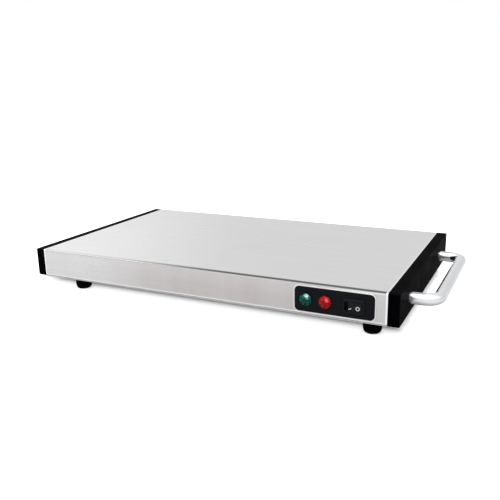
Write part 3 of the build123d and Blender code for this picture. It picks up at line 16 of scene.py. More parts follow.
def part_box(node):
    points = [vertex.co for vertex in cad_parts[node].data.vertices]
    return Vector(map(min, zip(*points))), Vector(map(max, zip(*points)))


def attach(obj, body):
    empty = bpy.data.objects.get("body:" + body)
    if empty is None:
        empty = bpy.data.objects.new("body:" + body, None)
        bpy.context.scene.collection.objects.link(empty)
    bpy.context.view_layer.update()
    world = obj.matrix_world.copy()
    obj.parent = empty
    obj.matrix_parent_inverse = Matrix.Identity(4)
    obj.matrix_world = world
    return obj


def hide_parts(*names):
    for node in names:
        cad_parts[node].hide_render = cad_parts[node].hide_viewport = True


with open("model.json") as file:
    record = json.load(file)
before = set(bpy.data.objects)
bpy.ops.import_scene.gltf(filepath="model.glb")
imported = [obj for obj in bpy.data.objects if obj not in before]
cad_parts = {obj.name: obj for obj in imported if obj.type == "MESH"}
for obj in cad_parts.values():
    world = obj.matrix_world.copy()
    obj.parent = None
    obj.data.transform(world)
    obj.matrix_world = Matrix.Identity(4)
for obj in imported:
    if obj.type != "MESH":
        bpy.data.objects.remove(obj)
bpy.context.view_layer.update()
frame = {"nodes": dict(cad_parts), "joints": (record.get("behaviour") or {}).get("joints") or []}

log = logging.getLogger("warming_tray")

Colour = tuple[float, float, float]
Point = tuple[float, float, float]
Span = tuple[float, float]
Socket = bpy.types.NodeSocket

MM = 0.001
WELD_DISTANCE = 0.002
UPRIGHT: Point = (math.pi / 2, 0.0, 0.0)
ALONG_X: Point = (0.0, math.pi / 2, 0.0)
WHITE: Colour = (1.0, 1.0, 1.0)
FEET = ("front_left_foot", "front_right_foot", "rear_left_foot", "rear_right_foot")


class Body(Enum):
    """The bodies that the pieces ride on."""

    TRAY = "tray"
    ROCKER = "rocker"


# Shader nodes


class NodeSheet:
    """Adds nodes to a tree and joins their sockets."""

    def __init__(self, tree: bpy.types.NodeTree) -> None:
        """Keeps the tree that the nodes go into."""
        self.tree = tree

    def feed(self, target: Socket, source: object) -> None:
        """Gives an input its value.

        Args:
            target: The input socket.
            source: An output socket, a colour or a plain value.
        """
        if isinstance(source, Socket):
            self.tree.links.new(source, target)
        else:
            target.default_value = (*source, 1.0) if target.type == "RGBA" else source

    def add(
        self, kind: str, inputs: dict[object, object] | None = None, **settings: object
    ) -> bpy.types.Node:
        """Adds a node.

        Args:
            kind: The node's type name.
            inputs: What its inputs get, by their names or numbers.
            settings: Properties of the node and their values.

        Returns:
            The new node.
        """
        node = self.tree.nodes.new(kind)
        for name, value in settings.items():
            setattr(node, name, value)
        for key, source in (inputs or {}).items():
            self.feed(node.inputs[key], source)
        return node

    def calc(self, operation: str, *terms: object, clamp: bool = False) -> Socket:
        """Joins numbers or sockets with a Math node.

        Args:
            operation: The Math node's operation.
            terms: Its inputs in order.
            clamp: Whether the result is held from 0 to 1.

        Returns:
            The result.
        """
        terms_by_number = dict(enumerate(terms))
        return self.add(
            "ShaderNodeMath", terms_by_number, operation=operation, use_clamp=clamp
        ).outputs[0]

    def times(self, *factors: object) -> Socket:
        """Multiplies two or more numbers or sockets."""
        return reduce(lambda first, second: self.calc("MULTIPLY", first, second), factors)

    def adjust(self, value: object, factor: object, offset: object) -> Socket:
        """Multiplies a value by a factor and adds an offset."""
        return self.calc("MULTIPLY_ADD", value, factor, offset)

    def ease(self, value: Socket, low: float, high: float) -> Socket:
        """Smooth step of a value from 0 at low to 1 at high.

        Args:
            value: The value.
            low: Where the step starts.
            high: Where it ends, above or below low.

        Returns:
            The step.
        """
        flip = high < low
        ends = {
            "Value": value,
            "From Min": min(low, high),
            "From Max": max(low, high),
            "To Min": float(flip),
            "To Max": float(not flip),
        }
        node = self.add("ShaderNodeMapRange", ends, interpolation_type="SMOOTHSTEP")
        return node.outputs["Result"]

    def within(self, value: Socket, base: float, span: Span, unit: float = 1.0) -> Socket:
        """Smooth step of a place in metres across a span in millimetres.

        Args:
            value: The place.
            base: What the span is measured from, in millimetres.
            span: Where the step starts and ends.
            unit: How many millimetres 1 stands for in the span.

        Returns:
            The step.
        """
        return self.ease(value, (base + unit * span[0]) * MM, (base + unit * span[1]) * MM)

    def blend(self, factor: object, first: object, second: object) -> Socket:
        """Mixes two colours, factor being the share of the second."""
        node = self.add("ShaderNodeMix", {0: factor, 6: first, 7: second}, data_type="RGBA")
        return node.outputs[2]

    def split(self, vector: Socket) -> Sequence[Socket]:
        """Takes a vector's three parts apart."""
        return self.add("ShaderNodeSeparateXYZ", {0: vector}).outputs

    def stretch(self, vector: Socket, scale: Point, turn: Point = (0.0, 0.0, 0.0)) -> Socket:
        """Scales a position along the three axes, and turns it."""
        inputs = {"Vector": vector, "Rotation": turn, "Scale": scale}
        return self.add("ShaderNodeMapping", inputs).outputs["Vector"]

    def noise(self, vector: Socket, scale: object, detail: float = 2.0) -> Socket:
        """Cloudy noise from 0 to 1, scale being in clouds per metre."""
        inputs = {"Vector": vector, "Scale": scale, "Detail": detail}
        return self.add("ShaderNodeTexNoise", inputs).outputs["Fac"]

    def cells(self, vector: Socket, scale: Socket) -> bpy.types.NodeOutputs:
        """Voronoi cells, with their distance and their own colour."""
        return self.add("ShaderNodeTexVoronoi", {"Vector": vector, "Scale": scale}).outputs


class Effect(NodeSheet):
    """A shader node group with named inputs and outputs, built once for several finishes."""

    made: dict[str, bpy.types.NodeTree] = {}

    def __init__(
        self,
        name: str,
        values: Sequence[str],
        outputs: Sequence[str],
        vectors: Sequence[str] = ("Position",),
    ) -> None:
        """Starts the group.

        Args:
            name: The group's name.
            values: The names of its plain inputs.
            outputs: The names of its outputs, all plain values.
            vectors: The names of its vector inputs.
        """
        super().__init__(bpy.data.node_groups.new(name, "ShaderNodeTree"))
        for labels, way, kind in (
            (vectors, "INPUT", "NodeSocketVector"),
            (values, "INPUT", "NodeSocketFloat"),
            (outputs, "OUTPUT", "NodeSocketFloat"),
        ):
            for label in labels:
                self.tree.interface.new_socket(name=label, in_out=way, socket_type=kind)
        self.given = self.tree.nodes.new("NodeGroupInput").outputs
        self.result = self.tree.nodes.new("NodeGroupOutput").inputs
        self.place = self.given["Position"]
        Effect.made[name] = self.tree


def build_brushing() -> None:
    """Fine parallel lines along X, as a belt leaves them in sheet steel."""
    group = Effect("brushing", ("Lines",), ("Tone", "Height"))
    lines = group.given["Lines"]
    fine = group.noise(group.stretch(group.place, (0.006, 1.0, 1.0)), lines, 1.0)
    broad = group.noise(group.stretch(group.place, (0.012, 1.0, 1.0)), group.times(lines, 0.12))
    tone = group.adjust(fine, 0.45, group.times(broad, 0.55))
    group.feed(group.result["Tone"], group.ease(tone, 0.3, 0.7))
    group.feed(group.result["Height"], fine)


def build_grain() -> None:
    """Even pebbled grain of a spark-eroded mould."""
    group = Effect("grain", ("Pebbles",), ("Height", "Fleck"))
    pebbles = group.given["Pebbles"]
    pebble = group.cells(group.place, pebbles)["Distance"]
    rough = group.noise(group.place, group.times(pebbles, 0.5), 3.0)
    group.feed(group.result["Height"], group.adjust(pebble, 0.6, rough))
    group.feed(group.result["Fleck"], group.ease(rough, 0.5, 0.72))


def build_handling() -> None:
    """Large soft smudges and a few fine hairlines from wiping."""
    group = Effect("handling", ("Patches",), ("Smudge", "Hairline"))
    patch = group.noise(group.place, group.given["Patches"], 4.0)
    group.feed(group.result["Smudge"], group.ease(patch, 0.4, 0.66))
    streaks = group.stretch(group.place, (6.0, 900.0, 900.0), (0.3, 0.5, 0.62))
    scratch = group.noise(streaks, 1.0, 0.0)
    group.feed(group.result["Hairline"], group.ease(scratch, 0.72, 0.8))


def build_edge_wear() -> None:
    """Rubbed look along the edges of a box-shaped moulding."""
    group = Effect("edge_wear", ("Width",), ("Wear",), ("Position", "Low", "High"))
    given = group.given
    from_low = {0: given["Position"], 1: given["Low"]}
    to_high = {0: given["High"], 1: given["Position"]}
    gaps = [
        group.add("ShaderNodeVectorMath", ends, operation="SUBTRACT").outputs["Vector"]
        for ends in (from_low, to_high)
    ]
    nearest = group.add("ShaderNodeVectorMath", dict(enumerate(gaps)), operation="MINIMUM")
    x, y, z = group.split(nearest.outputs["Vector"])
    lower = group.calc("MINIMUM", x, y)
    upper = group.calc("MINIMUM", group.calc("MAXIMUM", x, y), z)
    share = group.calc("DIVIDE", group.calc("MAXIMUM", lower, upper), given["Width"])
    patchy = group.ease(group.noise(group.place, 160.0, 3.0), 0.3, 0.62)
    group.feed(group.result["Wear"], group.times(group.ease(share, 1.0, 0.2), patchy))


def build_spangle() -> None:
    """Flat crystals of a zinc coating, or the mill finish of rolled sheet."""
    group = Effect("spangle", ("Flakes",), ("Tone",))
    flake = group.cells(group.place, group.given["Flakes"])["Color"]
    group.feed(group.result["Tone"], group.add("ShaderNodeSeparateColor", {0: flake}).outputs[0])


class Coat(NodeSheet):
    """A material's nodes round its Principled shader."""

    def __init__(self, name: str) -> None:
        """Starts the material.

        Args:
            name: The material's name.
        """
        self.material = bpy.data.materials.new(name)
        self.material.use_nodes = True
        super().__init__(self.material.node_tree)
        self.shader = self.tree.nodes["Principled BSDF"]
        self.position = self.add("ShaderNodeTexCoord").outputs["Object"]

    def give(self, values: dict[str, object]) -> None:
        """Gives the shader's inputs their values, by the inputs' names."""
        for name, value in values.items():
            self.feed(self.shader.inputs[name], value)

    def effect(self, name: str, **values: object) -> bpy.types.NodeOutputs:
        """Places an effect at the position on the piece.

        Args:
            name: The effect's name.
            values: What its other inputs get, by their names in small letters.

        Returns:
            The effect's outputs.
        """
        inputs = {label.capitalize(): value for label, value in values.items()}
        inputs["Position"] = self.position
        return self.add("ShaderNodeGroup", inputs, node_tree=Effect.made[name]).outputs

    def relief(self, height: Socket, strength: float, depth: float) -> None:
        """Gives the shader a bump.

        Args:
            height: The relief from 0 to 1.
            strength: How much of it shows.
            depth: Its real depth in millimetres.
        """
        inputs = {"Strength": strength, "Distance": depth * MM, "Height": height}
        self.give({"Normal": self.add("ShaderNodeBump", inputs).outputs["Normal"]})


# Finishes


@dataclass(frozen=True)
class Finish:
    """What every finish has: a name, its colour and how rough it is."""

    name: str
    colour: Colour
    roughness: float

    def make(self) -> bpy.types.Material:
        """Builds the material.

        Returns:
            The material.
        """
        coat = Coat(self.name)
        coat.give({"Base Color": self.colour, "Roughness": self.roughness})
        self.lay(coat)
        return coat.material

    def lay(self, coat: Coat) -> None:
        """Lays what the surface shows beside its plain colour."""
        raise NotImplementedError

    def shades(self, coat: Coat, factor: Socket, low: float, high: float) -> Socket:
        """The finish's own colour from one shade to another.

        Args:
            coat: The material's nodes.
            factor: Where it stands between the two.
            low: The first shade's share of the colour.
            high: The second shade's share of it.

        Returns:
            The colour.
        """
        first, second = (tuple(c * share for c in self.colour) for share in (low, high))
        return coat.blend(factor, first, second)


@dataclass(frozen=True)
class BrushedSheet(Finish):
    """Sheet metal with a brushed face."""

    lines: float = 2600.0
    contrast: float = 0.03
    relief: float = 0.04
    patches: float = 9.0
    smudge_rough: float = 0.07
    line_rough: float = -0.05
    polish_rough: float = -0.14

    def lay(self, coat: Coat) -> None:
        """Lays the brushing, with smudges over it.

        Args:
            coat: The material's nodes.
        """
        brushed = coat.effect("brushing", lines=self.lines)
        handled = coat.effect("handling", patches=self.patches)
        tone = self.shades(coat, brushed["Tone"], 1.0 - self.contrast, 1.0 + self.contrast)
        # mark paints any highlight, reflection and shade into the colour, and gives where the sheet
        # is less rough
        colour, shine = self.mark(coat, tone)
        rough = coat.adjust(handled["Smudge"], self.smudge_rough, self.roughness)
        rough = coat.adjust(brushed["Tone"], self.line_rough, rough)
        rough = coat.adjust(shine, self.polish_rough, rough)
        coat.give({"Metallic": 1.0, "Base Color": colour, "Roughness": rough})
        coat.relief(brushed["Height"], self.relief, 0.02)

    def mark(self, coat: Coat, tone: Socket) -> tuple[Socket, object]:
        """Gives the colour and the mask of painted highlights, where a sheet is also less rough,
        which is nothing here.
        """
        return tone, 0.0


@dataclass(frozen=True)
class TraySheet(BrushedSheet):
    """The tray's folded stainless sheet, with painted reflection, shade and highlights on its front
    wall, its fold and its two ends.

    Each span is in millimetres from a side of the sheet or of the panel, and each pair of
    shares is how much of a mask counts and how much there is without it.
    """

    left: float = 0.0
    right: float = 0.0
    front: float = 0.0
    top: float = 0.0
    bottom: float = 0.0
    panel: float = 0.0
    # Colours painted in as light and shade: a darker, warmer reflection and a grey shade for the
    # front wall, a dark shade line for the fold, and highlights for the fold, the bottom edge and
    # the two ends.
    painted_warm_reflection: Colour = (0.54, 0.511, 0.503)
    painted_grey_shade: Colour = (0.60, 0.60, 0.60)
    painted_fold_shade: Colour = (0.10, 0.10, 0.105)
    painted_highlight_colour: Colour = (0.97, 0.97, 0.97)
    painted_end_highlight: Colour = (0.98, 0.98, 0.98)
    front_wall: Span = (1.5, 0.0)
    reflection_from_left: Span = (50.0, 200.0)
    past_panel: Span = (-4.0, 4.0)
    lower_wall: Span = (-4.0, -20.0)
    painted_bottom_highlight: Span = (2.8, 1.4)
    line_depth: Span = (5.0, 3.6)
    line_height: Span = (-1.0, -0.6)
    line_from_left: Span = (60.0, 260.0)
    bend_depth: Span = (1.6, 1.2)
    bend_height: Span = (-2.0, -1.4)
    gleam_top: Span = (-0.9, -1.3)
    gleam_foot: Span = (-2.4, -1.8)
    gleam_to_panel: Span = (-60.0, -5.0)
    end_strip: Span = (1.8, 1.6)
    reflection_share: Span = (0.7, 0.3)
    band_share: Span = (0.5, 0.62)
    low_share: Span = (0.2, 0.85)
    bottom_highlight_share: float = 0.8
    line_share: Span = (0.9, 0.1)
    bend_share: float = 0.5
    gleam_share: Span = (0.75, 0.15)
    bands: float = 30.0

    def mark(self, coat: Coat, tone: Socket) -> tuple[Socket, object]:
        """Paints reflection and shade on the front wall, a shade line and a highlight on its fold,
        and a highlight on a strip at each end, where the sheet is also less rough.

        Args:
            coat: The material's nodes.
            tone: The brushed sheet's own colour.

        Returns:
            The colour, and the mask of the painted highlights at the ends and under the fold, where
            the sheet is also less rough.
        """
        x, y, z = coat.split(coat.position)
        colour = self.shade_front(coat, tone, (x, y, z))
        colour, gleam = self.draw_fold(coat, colour, (x, y, z))
        # painted highlight: a bright strip at each end of the sheet, which is also made less rough
        left_end = coat.within(x, self.left, self.end_strip)
        right_end = coat.within(x, self.right, self.end_strip, -1.0)
        end = coat.calc("ADD", left_end, right_end, clamp=True)
        return coat.blend(end, colour, self.painted_end_highlight), coat.calc("MAXIMUM", end, gleam)

    def shade_front(self, coat: Coat, tone: Socket, place: Sequence[Socket]) -> Socket:
        """Paints reflection and shade into the front wall: darker and warmer away from the left
        end, in soft bands and more lower down, and grey past the panel's right edge, with a painted
        highlight along its bottom edge.

        Args:
            coat: The material's nodes.
            tone: The sheet's own colour.
            place: The position's three parts.

        Returns:
            The colour.
        """
        x, y, z = place
        # painted reflection and shade: the front wall is blended towards a darker, warmer grey, in
        # soft bands along it and more lower down, and towards plain grey past the panel
        on_front = coat.within(y, self.front, self.front_wall)
        from_left = coat.within(x, self.left, self.reflection_from_left)
        from_left = coat.adjust(from_left, *self.reflection_share)
        along = coat.add("ShaderNodeCombineXYZ", {0: x}).outputs[0]
        bands = coat.adjust(coat.noise(along, self.bands), *self.band_share)
        low = coat.adjust(coat.within(z, self.top, self.lower_wall), *self.low_share)
        painted_reflection_colour = coat.blend(coat.within(x, self.panel, self.past_panel), self.painted_warm_reflection, self.painted_grey_shade)
        colour = coat.blend(coat.times(from_left, on_front, bands, low), tone, painted_reflection_colour)
        # painted highlight: a light band along the front wall's bottom edge
        painted_bottom_highlight = coat.times(coat.within(z, self.bottom, self.painted_bottom_highlight), on_front, self.bottom_highlight_share)
        return coat.blend(painted_bottom_highlight, colour, self.painted_highlight_colour)

    def draw_fold(
        self, coat: Coat, colour: Socket, place: Sequence[Socket]
    ) -> tuple[Socket, Socket]:
        """Paints a dark shade line along the front fold, stronger away from the left end, a painted
        shade on the fold's bend near the left end, and a painted highlight band under the line.

        Args:
            coat: The material's nodes.
            colour: The sheet's colour.
            place: The position's three parts.

        Returns:
            The colour with the painted fold, and the painted highlight band's mask.
        """
        x, y, z = place
        # painted shade: a dark line along the top of the front fold, weaker towards the left end
        on_fold = coat.within(y, self.front, self.line_depth)
        fade = coat.within(x, self.left, self.line_from_left)
        upper = coat.within(z, self.top, self.line_height)
        line = coat.times(on_fold, upper, coat.adjust(fade, *self.line_share))
        # painted shade on the bend of the fold near the left end
        on_bend = coat.within(y, self.front, self.bend_depth)
        bend = coat.times(
            coat.within(z, self.top, self.bend_height),
            on_bend,
            self.bend_share,
            coat.calc("SUBTRACT", 1.0, fade),
        )
        colour = coat.blend(coat.calc("MAXIMUM", line, bend), colour, self.painted_fold_shade)
        # painted highlight: a bright band just under the fold, strongest near the panel
        below = coat.within(z, self.top, self.gleam_top)
        above = coat.within(z, self.top, self.gleam_foot)
        near_panel = coat.within(x, self.panel, self.gleam_to_panel)
        near_panel = coat.adjust(near_panel, *self.gleam_share)
        gleam = coat.times(below, above, on_fold, near_panel)
        return coat.blend(gleam, colour, self.painted_highlight_colour), gleam


@dataclass(frozen=True)
class PolishedMetal(Finish):
    """Plated or polished metal with wiped smudges and hairlines."""

    smudges: float = 0.08
    hairlines: float = 0.1

    def lay(self, coat: Coat) -> None:
        """Lays the smudges and the hairlines.

        Args:
            coat: The material's nodes.
        """
        handled = coat.effect("handling", patches=30.0)
        smear = coat.adjust(handled["Smudge"], self.smudges, self.roughness)
        rough = coat.adjust(handled["Hairline"], self.hairlines, smear)
        colour = self.tint(coat, handled["Smudge"])
        coat.give({"Metallic": 1.0, "Base Color": colour, "Roughness": rough})
        coat.relief(handled["Hairline"], 0.1, -0.01)

    def tint(self, coat: Coat, smudge: Socket) -> Socket:
        """The metal's colour, a little darker where it is smudged."""
        return self.shades(coat, smudge, 1.0, 0.94)


@dataclass(frozen=True)
class SatinTube(PolishedMetal):
    """Satin chrome on the handle, with painted shade below, on its outer side and on top of its
    legs.

    Each span is measured in tube diameters from the handle's lowest or outermost place.
    """

    low: Point = (0.0, 0.0, 0.0)
    high: Point = (0.0, 0.0, 0.0)
    painted_shade_below: float = 0.5
    painted_shade_outside: float = 0.18
    painted_shade_on_legs: float = 0.4
    rise: Span = (-0.1, 0.65)
    outer: Span = (-0.9, 0.0)
    crown: Span = (0.7, 0.92)
    legs: Span = (-1.2, -1.9)

    def tint(self, coat: Coat, smudge: Socket) -> Socket:
        """The tube's colour, with painted shade, and a little darker where smudged.

        Args:
            coat: The material's nodes.
            smudge: How smudged it is.

        Returns:
            The colour.
        """
        x, _, z = coat.split(coat.position)
        thick = self.high[2] - self.low[2]
        # painted shade: the chrome darkens towards the bottom, on the outer side and on top of the
        # legs near the cap
        up = coat.within(z, self.low[2], self.rise, thick)
        out = coat.within(x, self.high[0], self.outer, thick)
        crown = coat.within(z, self.low[2], self.crown, thick)
        crown = coat.times(crown, coat.within(x, self.high[0], self.legs, thick))
        shade = coat.times(
            coat.adjust(up, 1.0 - self.painted_shade_below, self.painted_shade_below),
            coat.adjust(out, -self.painted_shade_outside, 1.0),
            coat.adjust(crown, -self.painted_shade_on_legs, 1.0),
            coat.adjust(smudge, -0.04, 1.0),
        )
        return self.shades(coat, shade, 0.0, 1.0)


@dataclass(frozen=True)
class SpangledSheet(Finish):
    """Zinc-coated or mill-finished sheet."""

    flakes: float = 260.0
    contrast: float = 0.1
    patches: float = 14.0
    smudge_rough: float = 0.1
    flake_rough: float = 0.14

    def lay(self, coat: Coat) -> None:
        """Lays the crystals, with smudges over them.

        Args:
            coat: The material's nodes.
        """
        spangle = coat.effect("spangle", flakes=self.flakes)["Tone"]
        handled = coat.effect("handling", patches=self.patches)
        tone = self.shades(coat, spangle, 1.0 - self.contrast, 1.0 + self.contrast)
        rough = coat.adjust(spangle, self.flake_rough, self.roughness)
        rough = coat.adjust(handled["Smudge"], self.smudge_rough, rough)
        coat.give({"Metallic": 1.0, "Base Color": tone, "Roughness": rough})
        coat.relief(handled["Hairline"], 0.15, -0.02)


@dataclass(frozen=True)
class MouldedPlastic(Finish):
    """Moulded plastic with its mould grain, and worn edges where it has a box to wear."""

    pebbles: float = 2200.0
    relief: float = 0.25
    depth: float = 0.06
    specular: float = 0.3
    patches: float = 22.0
    flecks: Span = (0.85, 1.35)
    smudge_rough: float = -0.08
    fleck_rough: float = 0.08
    worn: Colour = (0.10, 0.10, 0.11)
    low: Point = (0.0, 0.0, 0.0)
    high: Point = (0.0, 0.0, 0.0)
    wear_width: float = 0.0
    wear: float = 0.5

    def lay(self, coat: Coat) -> None:
        """Lays the grain, the smudges and the wear.

        Args:
            coat: The material's nodes.
        """
        grain = coat.effect("grain", pebbles=self.pebbles)
        handled = coat.effect("handling", patches=self.patches)
        colour = self.shades(coat, grain["Fleck"], *self.flecks)
        if self.wear_width:
            edge = coat.effect(
                "edge_wear",
                low=Vector(self.low) * MM,
                high=Vector(self.high) * MM,
                width=self.wear_width * MM,
            )
            colour = coat.blend(coat.times(edge["Wear"], self.wear), colour, self.worn)
        rough = coat.adjust(handled["Smudge"], self.smudge_rough, self.roughness)
        rough = coat.adjust(grain["Fleck"], self.fleck_rough, rough)
        coat.give(
            {"Specular IOR Level": self.specular, "Base Color": colour, "Roughness": rough}
        )
        coat.relief(grain["Height"], self.relief, self.depth)


@dataclass(frozen=True)
class FiredCeramic(MouldedPlastic):
    """Unglazed steatite with fine specks."""

    pebbles: float = 3200.0
    relief: float = 0.2
    depth: float = 0.03
    specular: float = 0.5
    patches: float = 40.0
    flecks: Span = (1.02, 0.9)
    smudge_rough: float = 0.12
    fleck_rough: float = 0.0


@dataclass(frozen=True)
class LampLens(Finish):
    """Clear coloured plastic whose facets carry painted reflections, lighter or darker by the way
    they face, and a painted highlight.
    """

    painted_facet_reflection: Colour = WHITE
    gleam: Colour = WHITE
    clear: float = 0.1

    def lay(self, coat: Coat) -> None:
        """Lays the facets' painted reflections and their painted highlight.

        Args:
            coat: The material's nodes.
        """
        # painted reflection and highlight: the facets' attributes blend the colour towards a
        # lighter one and towards a highlight colour
        facet, lit = (
            coat.add("ShaderNodeAttribute", attribute_name=name).outputs["Fac"]
            for name in ("facet_painted_reflection", "facet_gleam")
        )
        cloud = coat.noise(coat.position, 420.0)
        share = coat.times(facet, coat.calc("ADD", cloud, 0.5))
        colour = coat.blend(lit, coat.blend(share, self.colour, self.painted_facet_reflection), self.gleam)
        coat.give(
            {
                "Base Color": colour,
                "IOR": 1.49,
                "Specular IOR Level": 0.05,
                "Transmission Weight": self.clear,
                "Coat Weight": 0.03,
                "Coat Roughness": 0.04,
            }
        )
        coat.relief(cloud, 0.05, 0.05)


@dataclass(frozen=True)
class ClearGlass(Finish):
    """Blown glass of a small neon bulb."""

    def lay(self, coat: Coat) -> None:
        """Lays the glass's unevenness."""
        coat.give({"IOR": 1.5, "Transmission Weight": 0.9})
        coat.relief(coat.noise(coat.position, 300.0, 1.0), 0.04, 0.1)


@dataclass(frozen=True)
class FibreMat(Finish):
    """Needled ceramic fibre."""

    def lay(self, coat: Coat) -> None:
        """Lays the strands and the tufts.

        Args:
            coat: The material's nodes.
        """
        strands = coat.noise(coat.stretch(coat.position, (300.0, 1400.0, 1400.0)), 1.0, 4.0)
        tufts = coat.noise(coat.position, 110.0, 4.0)
        fibre = coat.times(coat.calc("ADD", strands, tufts), 0.5)
        colour = self.shades(coat, coat.ease(fibre, 0.3, 0.7), 0.8, 1.08)
        coat.give({"Base Color": colour, "Sheen Weight": 0.3})
        coat.relief(fibre, 0.7, 0.8)


@dataclass(frozen=True)
class WireSleeve(Finish):
    """Extruded wire insulation, plain or with a second colour along it."""

    clouds: float = 240.0
    detail: float = 2.0
    spread: Span = (0.35, 0.7)
    tones: Span = (0.85, 1.15)
    depth: float = 0.1
    stripe: Colour | None = None
    stripe_rate: float = 2600.0
    stripe_edge: Span = (-0.15, 0.15)

    def lay(self, coat: Coat) -> None:
        """Lays the uneven tone and the stripe.

        Args:
            coat: The material's nodes.
        """
        cloud = coat.noise(coat.position, self.clouds, self.detail)
        colour = self.shades(coat, coat.ease(cloud, *self.spread), *self.tones)
        if self.stripe is not None:
            along = coat.split(coat.position)[0]
            wave = coat.calc("SINE", coat.times(along, self.stripe_rate))
            colour = coat.blend(coat.ease(wave, *self.stripe_edge), colour, self.stripe)
        coat.give({"Base Color": colour})
        coat.relief(cloud, 0.1, self.depth)


@dataclass(frozen=True)
class PrintedInk(WireSleeve):
    """Pad-printed mark with slightly uneven cover."""

    clouds: float = 1500.0
    detail: float = 3.0
    spread: Span = (0.3, 0.6)
    tones: Span = (0.86, 1.0)
    depth: float = 0.02


# Modelling


def clear_selection() -> None:
    """Leaves edit mode and deselects every object."""
    if bpy.context.object is not None and bpy.context.object.mode != "OBJECT":
        bpy.ops.object.mode_set(mode="OBJECT")
    bpy.ops.object.select_all(action="DESELECT")


class Workpiece:
    """A mesh that is shaped with Blender's modelling tools, in millimetres of the frame."""

    def __init__(
        self,
        name: str,
        add: Callable[..., object],
        centre: Point,
        sizes: Point | None = None,
        **shape: object,
    ) -> None:
        """Adds a primitive at its size and place, and settles it at the origin.

        Args:
            name: The piece's name.
            add: The primitive's operator.
            centre: The primitive's middle.
            sizes: Its three sizes, for one that is added 1 m wide.
            shape: The operator's other settings.
        """
        clear_selection()
        add(location=Vector(centre) * MM, **shape)
        self.thing = bpy.context.active_object
        if sizes is not None:
            self.thing.scale = Vector(sizes) * MM
        self.thing.name = self.thing.data.name = name
        bpy.ops.object.transform_apply(location=True, rotation=True, scale=True)

    def __enter__(self) -> "Workpiece":
        """Goes into edit mode with everything selected.

        Returns:
            The workpiece itself.
        """
        bpy.context.view_layer.objects.active = self.thing
        bpy.ops.object.mode_set(mode="EDIT")
        bpy.ops.mesh.select_mode(type="VERT")
        bpy.ops.mesh.select_all(action="SELECT")
        return self

    def __exit__(self, *problem: object) -> None:
        """Goes back to object mode."""
        bpy.ops.object.mode_set(mode="OBJECT")

    def pick(self, kind: str, test: Callable[[Vector, Vector], bool]) -> None:
        """Selects what passes a test of its place and direction.

        Args:
            kind: FACE, EDGE or VERT.
            test: Gets the element's middle in millimetres and its normal, or an edge's run.
        """
        bpy.ops.mesh.select_mode(type=kind)
        bpy.ops.mesh.select_all(action="DESELECT")
        shape = bmesh.from_edit_mesh(self.thing.data)
        shape.normal_update()
        if kind == "FACE":
            for face in shape.faces:
                face.select_set(test(face.calc_center_median() / MM, face.normal))
        elif kind == "EDGE":
            for edge in shape.edges:
                first, last = (corner.co for corner in edge.verts)
                edge.select_set(test((first + last) / 2 / MM, (last - first).normalized()))
        else:
            for corner in shape.verts:
                corner.select_set(test(corner.co / MM, corner.normal))
        shape.select_flush_mode()
        bmesh.update_edit_mesh(self.thing.data)

    def extrude(self, shift: Point) -> None:
        """Extrudes what is selected by a shift in millimetres."""
        bpy.ops.mesh.extrude_region_move(TRANSFORM_OT_translate={"value": Vector(shift) * MM})

    def open_frame(self, width: float) -> None:
        """Insets every face and takes its middle out.

        Args:
            width: The width of the frame that stays, in millimetres.
        """
        bpy.ops.mesh.select_mode(type="FACE")
        bpy.ops.mesh.select_all(action="SELECT")
        bpy.ops.mesh.inset(thickness=width * MM)
        bpy.ops.mesh.delete(type="FACE")

    def turn_rings(self, axis_at: Point, stations: Sequence[Span]) -> None:
        """Extrudes a level circle through a row of radii and heights about an upright axis.

        Args:
            axis_at: A point of the axis, at the height of the circle's plane.
            stations: Radius and height of each ring, the first being where the circle is.
        """
        for (radius, height), (next_radius, next_height) in zip(stations, stations[1:]):
            self.extrude((0.0, 0.0, next_height - height))
            if next_radius != radius:
                share = next_radius / radius
                centre = Vector((axis_at[0], axis_at[1], next_height)) * MM
                bpy.ops.transform.resize(value=(share, share, 1.0), center_override=centre)

    def spin(self, centre: Point, angle: float, steps: int = 20) -> None:
        """Sweeps what is selected about an upright axis.

        Args:
            centre: A point of the axis.
            angle: The sweep in degrees, positive from X to Y.
            steps: How many steps it takes.
        """
        bpy.ops.mesh.spin(
            steps=steps,
            angle=-math.radians(angle),
            center=Vector(centre) * MM,
            axis=(0.0, 0.0, 1.0),
        )

    def cut(self, point: Point, normal: Point) -> None:
        """Cuts off one side of a plane and closes the cut.

        Args:
            point: A point of the plane, in millimetres.
            normal: The plane's normal, which points to the side that goes.
        """
        bpy.ops.mesh.select_all(action="SELECT")
        bpy.ops.mesh.bisect(
            plane_co=Vector(point) * MM, plane_no=normal, use_fill=True, clear_outer=True
        )

    def weld(self) -> None:
        """Merges doubles and turns every face outwards."""
        bpy.ops.mesh.select_all(action="SELECT")
        bpy.ops.mesh.remove_doubles(threshold=WELD_DISTANCE * MM)
        bpy.ops.mesh.normals_make_consistent(inside=False)

    def turn_about(self, centre: Point, turn: Matrix) -> None:
        """Turns the whole mesh about a point in millimetres."""
        about = Matrix.Translation(Vector(centre) * MM)
        self.thing.data.transform(about @ turn @ about.inverted())

    def modify(self, kind: str, **settings: object) -> None:
        """Adds a modifier and applies it.

        Args:
            kind: The modifier's type.
            settings: Its properties and their values.
        """
        self.choose()
        modifier = self.thing.modifiers.new(kind.lower(), kind)
        for name, value in settings.items():
            setattr(modifier, name, value)
        bpy.ops.object.modifier_apply(modifier=modifier.name)

    def choose(self) -> None:
        """Selects the piece alone and makes it active."""
        clear_selection()
        self.thing.select_set(True)
        bpy.context.view_layer.objects.active = self.thing

    def round_edges(self, width: float, segments: int, limit: float) -> None:
        """Rounds the edges that are sharper than a limit.

        Args:
            width: The rounding's width in millimetres.
            segments: Its steps.
            limit: The least angle in degrees.
        """
        self.modify(
            "BEVEL",
            width=width * MM,
            segments=segments,
            limit_method="ANGLE",
            angle_limit=math.radians(limit),
        )

